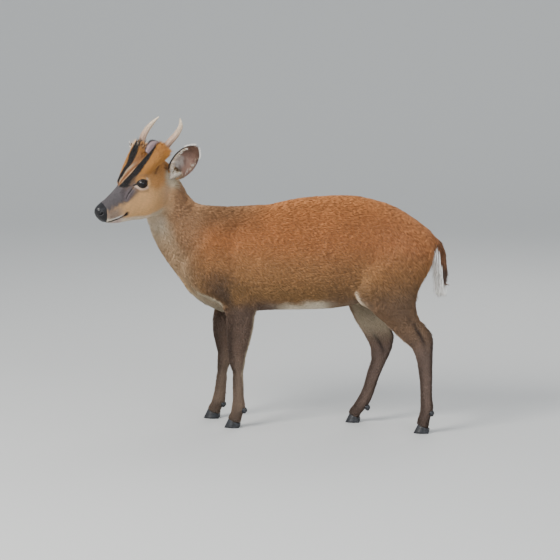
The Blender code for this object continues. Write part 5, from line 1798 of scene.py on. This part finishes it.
TAIL_LOCKS = 860
WHITE_ENDS_AT, BROWN_ENDS_AT = 0.322, 0.354
TAIL_WHITE, TAIL_BROWN, TAIL_DARK = (250, 247, 243), (124, 84, 58), (92, 70, 58)


def tail_locks():
    rng = np.random.default_rng(91)
    locks = []
    for i in range(TAIL_LOCKS):
        share = 0.06 + 0.92 * (i + rng.uniform()) / TAIL_LOCKS
        front_x, front_z, rear_x, rear_z, half = dock_rows([share])[0]
        angle = rng.uniform(0, 2 * math.pi)
        inner = math.cos(angle)
        middle = Vector(((front_x + rear_x) / 2, 0, (front_z + rear_z) / 2)) + Vector(SHIFT)
        thick = math.hypot(front_x - rear_x, front_z - rear_z) / 2
        out = Vector((-inner, math.sin(angle), 0.0))
        root = middle + Vector((-inner * thick, math.sin(angle) * half, 0)) * 0.8
        white = inner > -0.10 or share > 0.93
        # The tips all end at about the same height, so the last locks are the shortest.
        height = root.z - SHIFT[2]
        if white:
            length = min(max(height - WHITE_ENDS_AT, 0.010), 0.055) * rng.uniform(0.75, 1.05)
            splay, width, shade = rng.uniform(0.05, 0.30), 0.0027, TAIL_WHITE
        else:
            length = min(max(height - BROWN_ENDS_AT, 0.006), 0.030) * rng.uniform(0.8, 1.1)
            splay, width, shade = 0.16, 0.0016, TAIL_BROWN if share < 0.5 else TAIL_DARK
        way = (Vector((0, 0, -1)) + out * splay + Vector(rng.normal(0, 0.05, 3))).normalized()
        width *= rng.uniform(0.8, 1.3)
        side = way.cross(out).normalized()
        place = (0.42 + 0.12 * share, 0.60 + 0.03 * angle)
        locks.append((root, way, Vector((0.06, 0, -0.10)), side, length, width, shade, place))
    return locks


CREST_FROM, CREST_TO = 0.168, 0.226
CREST_ARCH = (0.0930, 0.0765)
CREST_BULGE = 0.0225
CREST_LEFT, CREST_ROOT = 0.0262, 0.066
# Crest colours: black hair that also stands for the shade along the arch's rim, and a painted grey sheen of
# sky on black hair.
CREST_SHADED_BLACK, CREST_SHEEN = (40, 34, 38), (150, 130, 134)
TUFT_LOCKS, CREST_SHADED_BLACK_LOCKS, CREST_SHEEN_LOCKS = 300, 260, 320
TUFT_SHADES = {
    1: [(186, 124, 52), (200, 140, 66), (160, 98, 44)],
    -1: [(238, 196, 142), (244, 214, 178), (220, 164, 104)],
}
EAR_FOOT_LOCKS, EAR_RIM_LOCKS = 420, 520


def any_of(rng, shades):
    return shades[int(rng.integers(3))]


def pedicle_locks(rng):
    """Orange tufts round the top of each pedicle, dark on the side of the black stripe."""
    locks = []
    for side in (1, -1):
        top = Vector(in_head(*on_side(PEDICLE[-1][:3], side)))
        axis = (top - Vector(in_head(*on_side(PEDICLE[-2][:3], side)))).normalized()
        outer = (LEFT * side - axis * axis.dot(LEFT) * side).normalized()
        upper = (CROWN - axis * axis.dot(CROWN) - outer * outer.dot(CROWN)).normalized()
        for _ in range(TUFT_LOCKS):
            angle = rng.uniform(0, 2 * math.pi)
            back = rng.uniform(-0.016, 0.004)
            out = outer * math.cos(angle) + upper * math.sin(angle)
            radius = PEDICLE[-1][3] * (0.94 if back < 0 else 0.80)
            root = top + axis * back + out * (radius - 0.001)
            way = (axis + out * rng.uniform(0.25, 0.60) + Vector(rng.normal(0, 0.12, 3))).normalized()
            inwards = math.sin(angle) > 0.15 and -0.95 < math.cos(angle) < 0.10
            dark = inwards and rng.uniform() < 0.8
            shade = (46, 38, 38) if dark else any_of(rng, TUFT_SHADES[side])
            length = rng.uniform(0.009, 0.0150)
            across = way.cross(out).normalized()
            place = (0.30 + 0.004 * side + 0.02 * back, 0.45 + 0.004 * angle)
            locks.append((root, way, out * 0.2, across, length, 0.0009, shade, place))
    return locks


def crest_locks(rng):
    """An arch of black hair over the left pedicle's inner side: a lower layer painted grey as a sheen of sky,
    and a black top layer that also stands for the shade along the rim.
    """
    locks = []
    for layer, count, reach in ((CREST_SHADED_BLACK, CREST_SHADED_BLACK_LOCKS, 1.0), (CREST_SHEEN, CREST_SHEEN_LOCKS, 0.90)):
        for i in range(count):
            share = (i + rng.uniform(0, 1)) / count
            arch = CREST_ARCH[0] + (CREST_ARCH[1] - CREST_ARCH[0]) * share
            arch += CREST_BULGE * 4 * share * (1 - share)
            back = CREST_FROM + (CREST_TO - CREST_FROM) * share
            left = CREST_LEFT + (0.0026 if reach < 1 else 0) + rng.normal(0, 0.0008)
            top = CREST_ROOT + (arch - CREST_ROOT) * reach * rng.uniform(0.975, 1.0)
            tip = Vector(in_head(back, left, top))
            foot = CREST_FROM + 0.012 + (back - CREST_FROM) * 0.55
            root = Vector(in_head(foot, left + 0.002, CREST_ROOT))
            way = (tip - root).normalized()
            place = (0.31, 0.46 + 0.01 * share)
            locks.append((root, way, BACK * 0.006, BACK, (tip - root).length, 0.0026, layer, place))
    return locks


def ear_locks(rng):
    locks = []
    for side in (1, -1):
        # Hair round the foot of the ear, tan behind and white where the cup opens.
        root, way, opens, across = ear_frame(side)
        for _ in range(EAR_FOOT_LOCKS):
            angle = rng.uniform(0, 2 * math.pi)
            out = opens * math.cos(angle) + across * math.sin(angle)
            foot = root + way * rng.uniform(-0.004, 0.020) + out * rng.uniform(0.0085, 0.0125)
            open_side = math.cos(angle) > 0.1
            grow = (way + out * rng.uniform(0.10, 0.35) + Vector(rng.normal(0, 0.10, 3))).normalized()
            shade = any_of(rng, [CREAM, WHITE, WHITE] if open_side else [AMBER, TAN, DRAB])
            if open_side and math.sin(angle) > 0.55 and rng.uniform() < 0.20:
                shade = PITCH
            length = rng.uniform(0.010, 0.019) * (1.15 if open_side else 0.9)
            place = (0.34 + 0.004 * side, 0.45 + 0.004 * angle)
            flat = grow.cross(out).normalized()
            locks.append((foot, grow, -out * 0.15, flat, length, 0.0012, shade, place))
        # White hair along the leaf's edge: inwards over the cup, and a fringe outside the black tip.
        for _ in range(EAR_RIM_LOCKS):
            share = rng.uniform(0.16, 0.99)
            _, half, spread = ear_rows([share])[0]
            radius, centre = ear_arc(share, half, spread, root, way, opens)
            edge = -1 if rng.uniform() < (0.55 if share > 0.80 else 0.88) else 1
            angle = edge * spread * (0.985 if share > 0.80 else rng.uniform(0.72, 0.97))
            out = across * math.sin(angle) - opens * math.cos(angle)
            foot = centre + out * (radius - (0.0002 if share > 0.80 else EAR_WALL))
            if share > 0.80:
                grow, length, shade = way + out * 0.45, rng.uniform(0.003, 0.006), WHITE
            else:
                grow = way - across * edge * rng.uniform(0.25, 0.9) + opens * 0.25
                length = rng.uniform(0.008, 0.017) * (1 - 0.4 * share)
                shade = any_of(rng, [WHITE, CREAM, (150, 128, 112)])
            grow = (grow + Vector(rng.normal(0, 0.12, 3))).normalized()
            place = (0.52 + 0.24 * (side < 0) + 0.20 * share, 0.25 + 0.05 * edge)
            flat = grow.cross(opens).normalized()
            locks.append((foot, grow, way * 0.1, flat, length, 0.0009, shade, place))
    return locks


strands("tail_fringe", tail_locks(), 5)
draws = np.random.default_rng(17)
strands("crown_tufts", pedicle_locks(draws) + crest_locks(draws) + ear_locks(draws), 6)

# The stand-in studio: a pale floor, soft light from above, and the photograph's viewpoint.
AZIMUTH, ELEVATION, DISTANCE = math.radians(8.5), math.radians(8.0), 6.0
AIM_RIGHT, AIM_UP = 0.0289, 0.3506
to_right = Vector((math.cos(AZIMUTH), math.sin(AZIMUTH), 0))
forward = Vector((
    -math.sin(AZIMUTH) * math.cos(ELEVATION), math.cos(AZIMUTH) * math.cos(ELEVATION), -math.sin(ELEVATION)
))
upward = to_right.cross(forward)
target = to_right * AIM_RIGHT + upward * AIM_UP + Vector(SHIFT)
camera_data = bpy.data.cameras.new("viewpoint")
camera_data.lens = 158.1
camera_data.sensor_width = 36
camera_data.clip_end = 60
camera = linked("viewpoint", camera_data)
camera.location = target - forward * DISTANCE
camera.rotation_euler = forward.to_track_quat("-Z", "Y").to_euler()
bpy.context.scene.camera = camera

# The floor runs up into a wall through a wide bend, so that no edge shows behind the animal.
FLOOR_FRONT, BEND_START, BEND_RADIUS = -9.0, 4.0, 3.0
WALL_TOP, FLOOR_HALF_WIDTH = 9.0, 12.0
sweep = [(FLOOR_FRONT, 0.0), (BEND_START, 0.0)]
for turn in np.linspace(0.1, math.pi / 2, 15):
    rise = BEND_RADIUS - BEND_RADIUS * math.cos(turn)
    sweep.append((BEND_START + BEND_RADIUS * math.sin(turn), rise))
sweep.append((BEND_START + BEND_RADIUS, WALL_TOP))
sides = [(-FLOOR_HALF_WIDTH, y, z) for y, z in sweep] + [(FLOOR_HALF_WIDTH, y, z) for y, z in sweep]
count = len(sweep)
floor = new_object(
    "studio_floor", sides, [(i, i + 1, i + 1 + count, i + count) for i in range(count - 1)]
)
pale, shader = principled("pale_floor", 0.9)
shader.inputs["Base Color"].default_value = (0.50, 0.50, 0.49, 1)
finished_in(floor.data, pale)

world = bpy.data.worlds.new("soft_sky")
world.use_nodes = True
world.node_tree.nodes["Background"].inputs["Color"].default_value = (0.90, 0.95, 1.0, 1)
world.node_tree.nodes["Background"].inputs["Strength"].default_value = 1.05
bpy.context.scene.world = world


def soft_lamp(name, place, energy, size, tint):
    data = bpy.data.lights.new(name, "AREA")
    data.energy = energy
    data.shape = "DISK"
    data.size = size
    data.color = tint
    lamp = linked(name, data)
    lamp.location = place
    lamp.rotation_euler = (Vector((0, 0, 0.35)) - Vector(place)).to_track_quat("-Z", "Y").to_euler()


soft_lamp("key_lamp", (-1.7, -2.4, 2.5), 150, 1.6, (1.0, 0.98, 0.94))
soft_lamp("fill_lamp", (1.6, -2.6, 1.4), 36, 2.0, (0.94, 0.97, 1.0))
soft_lamp("back_lamp", (0.6, 2.4, 2.4), 30, 1.8, (1.0, 0.98, 0.95))
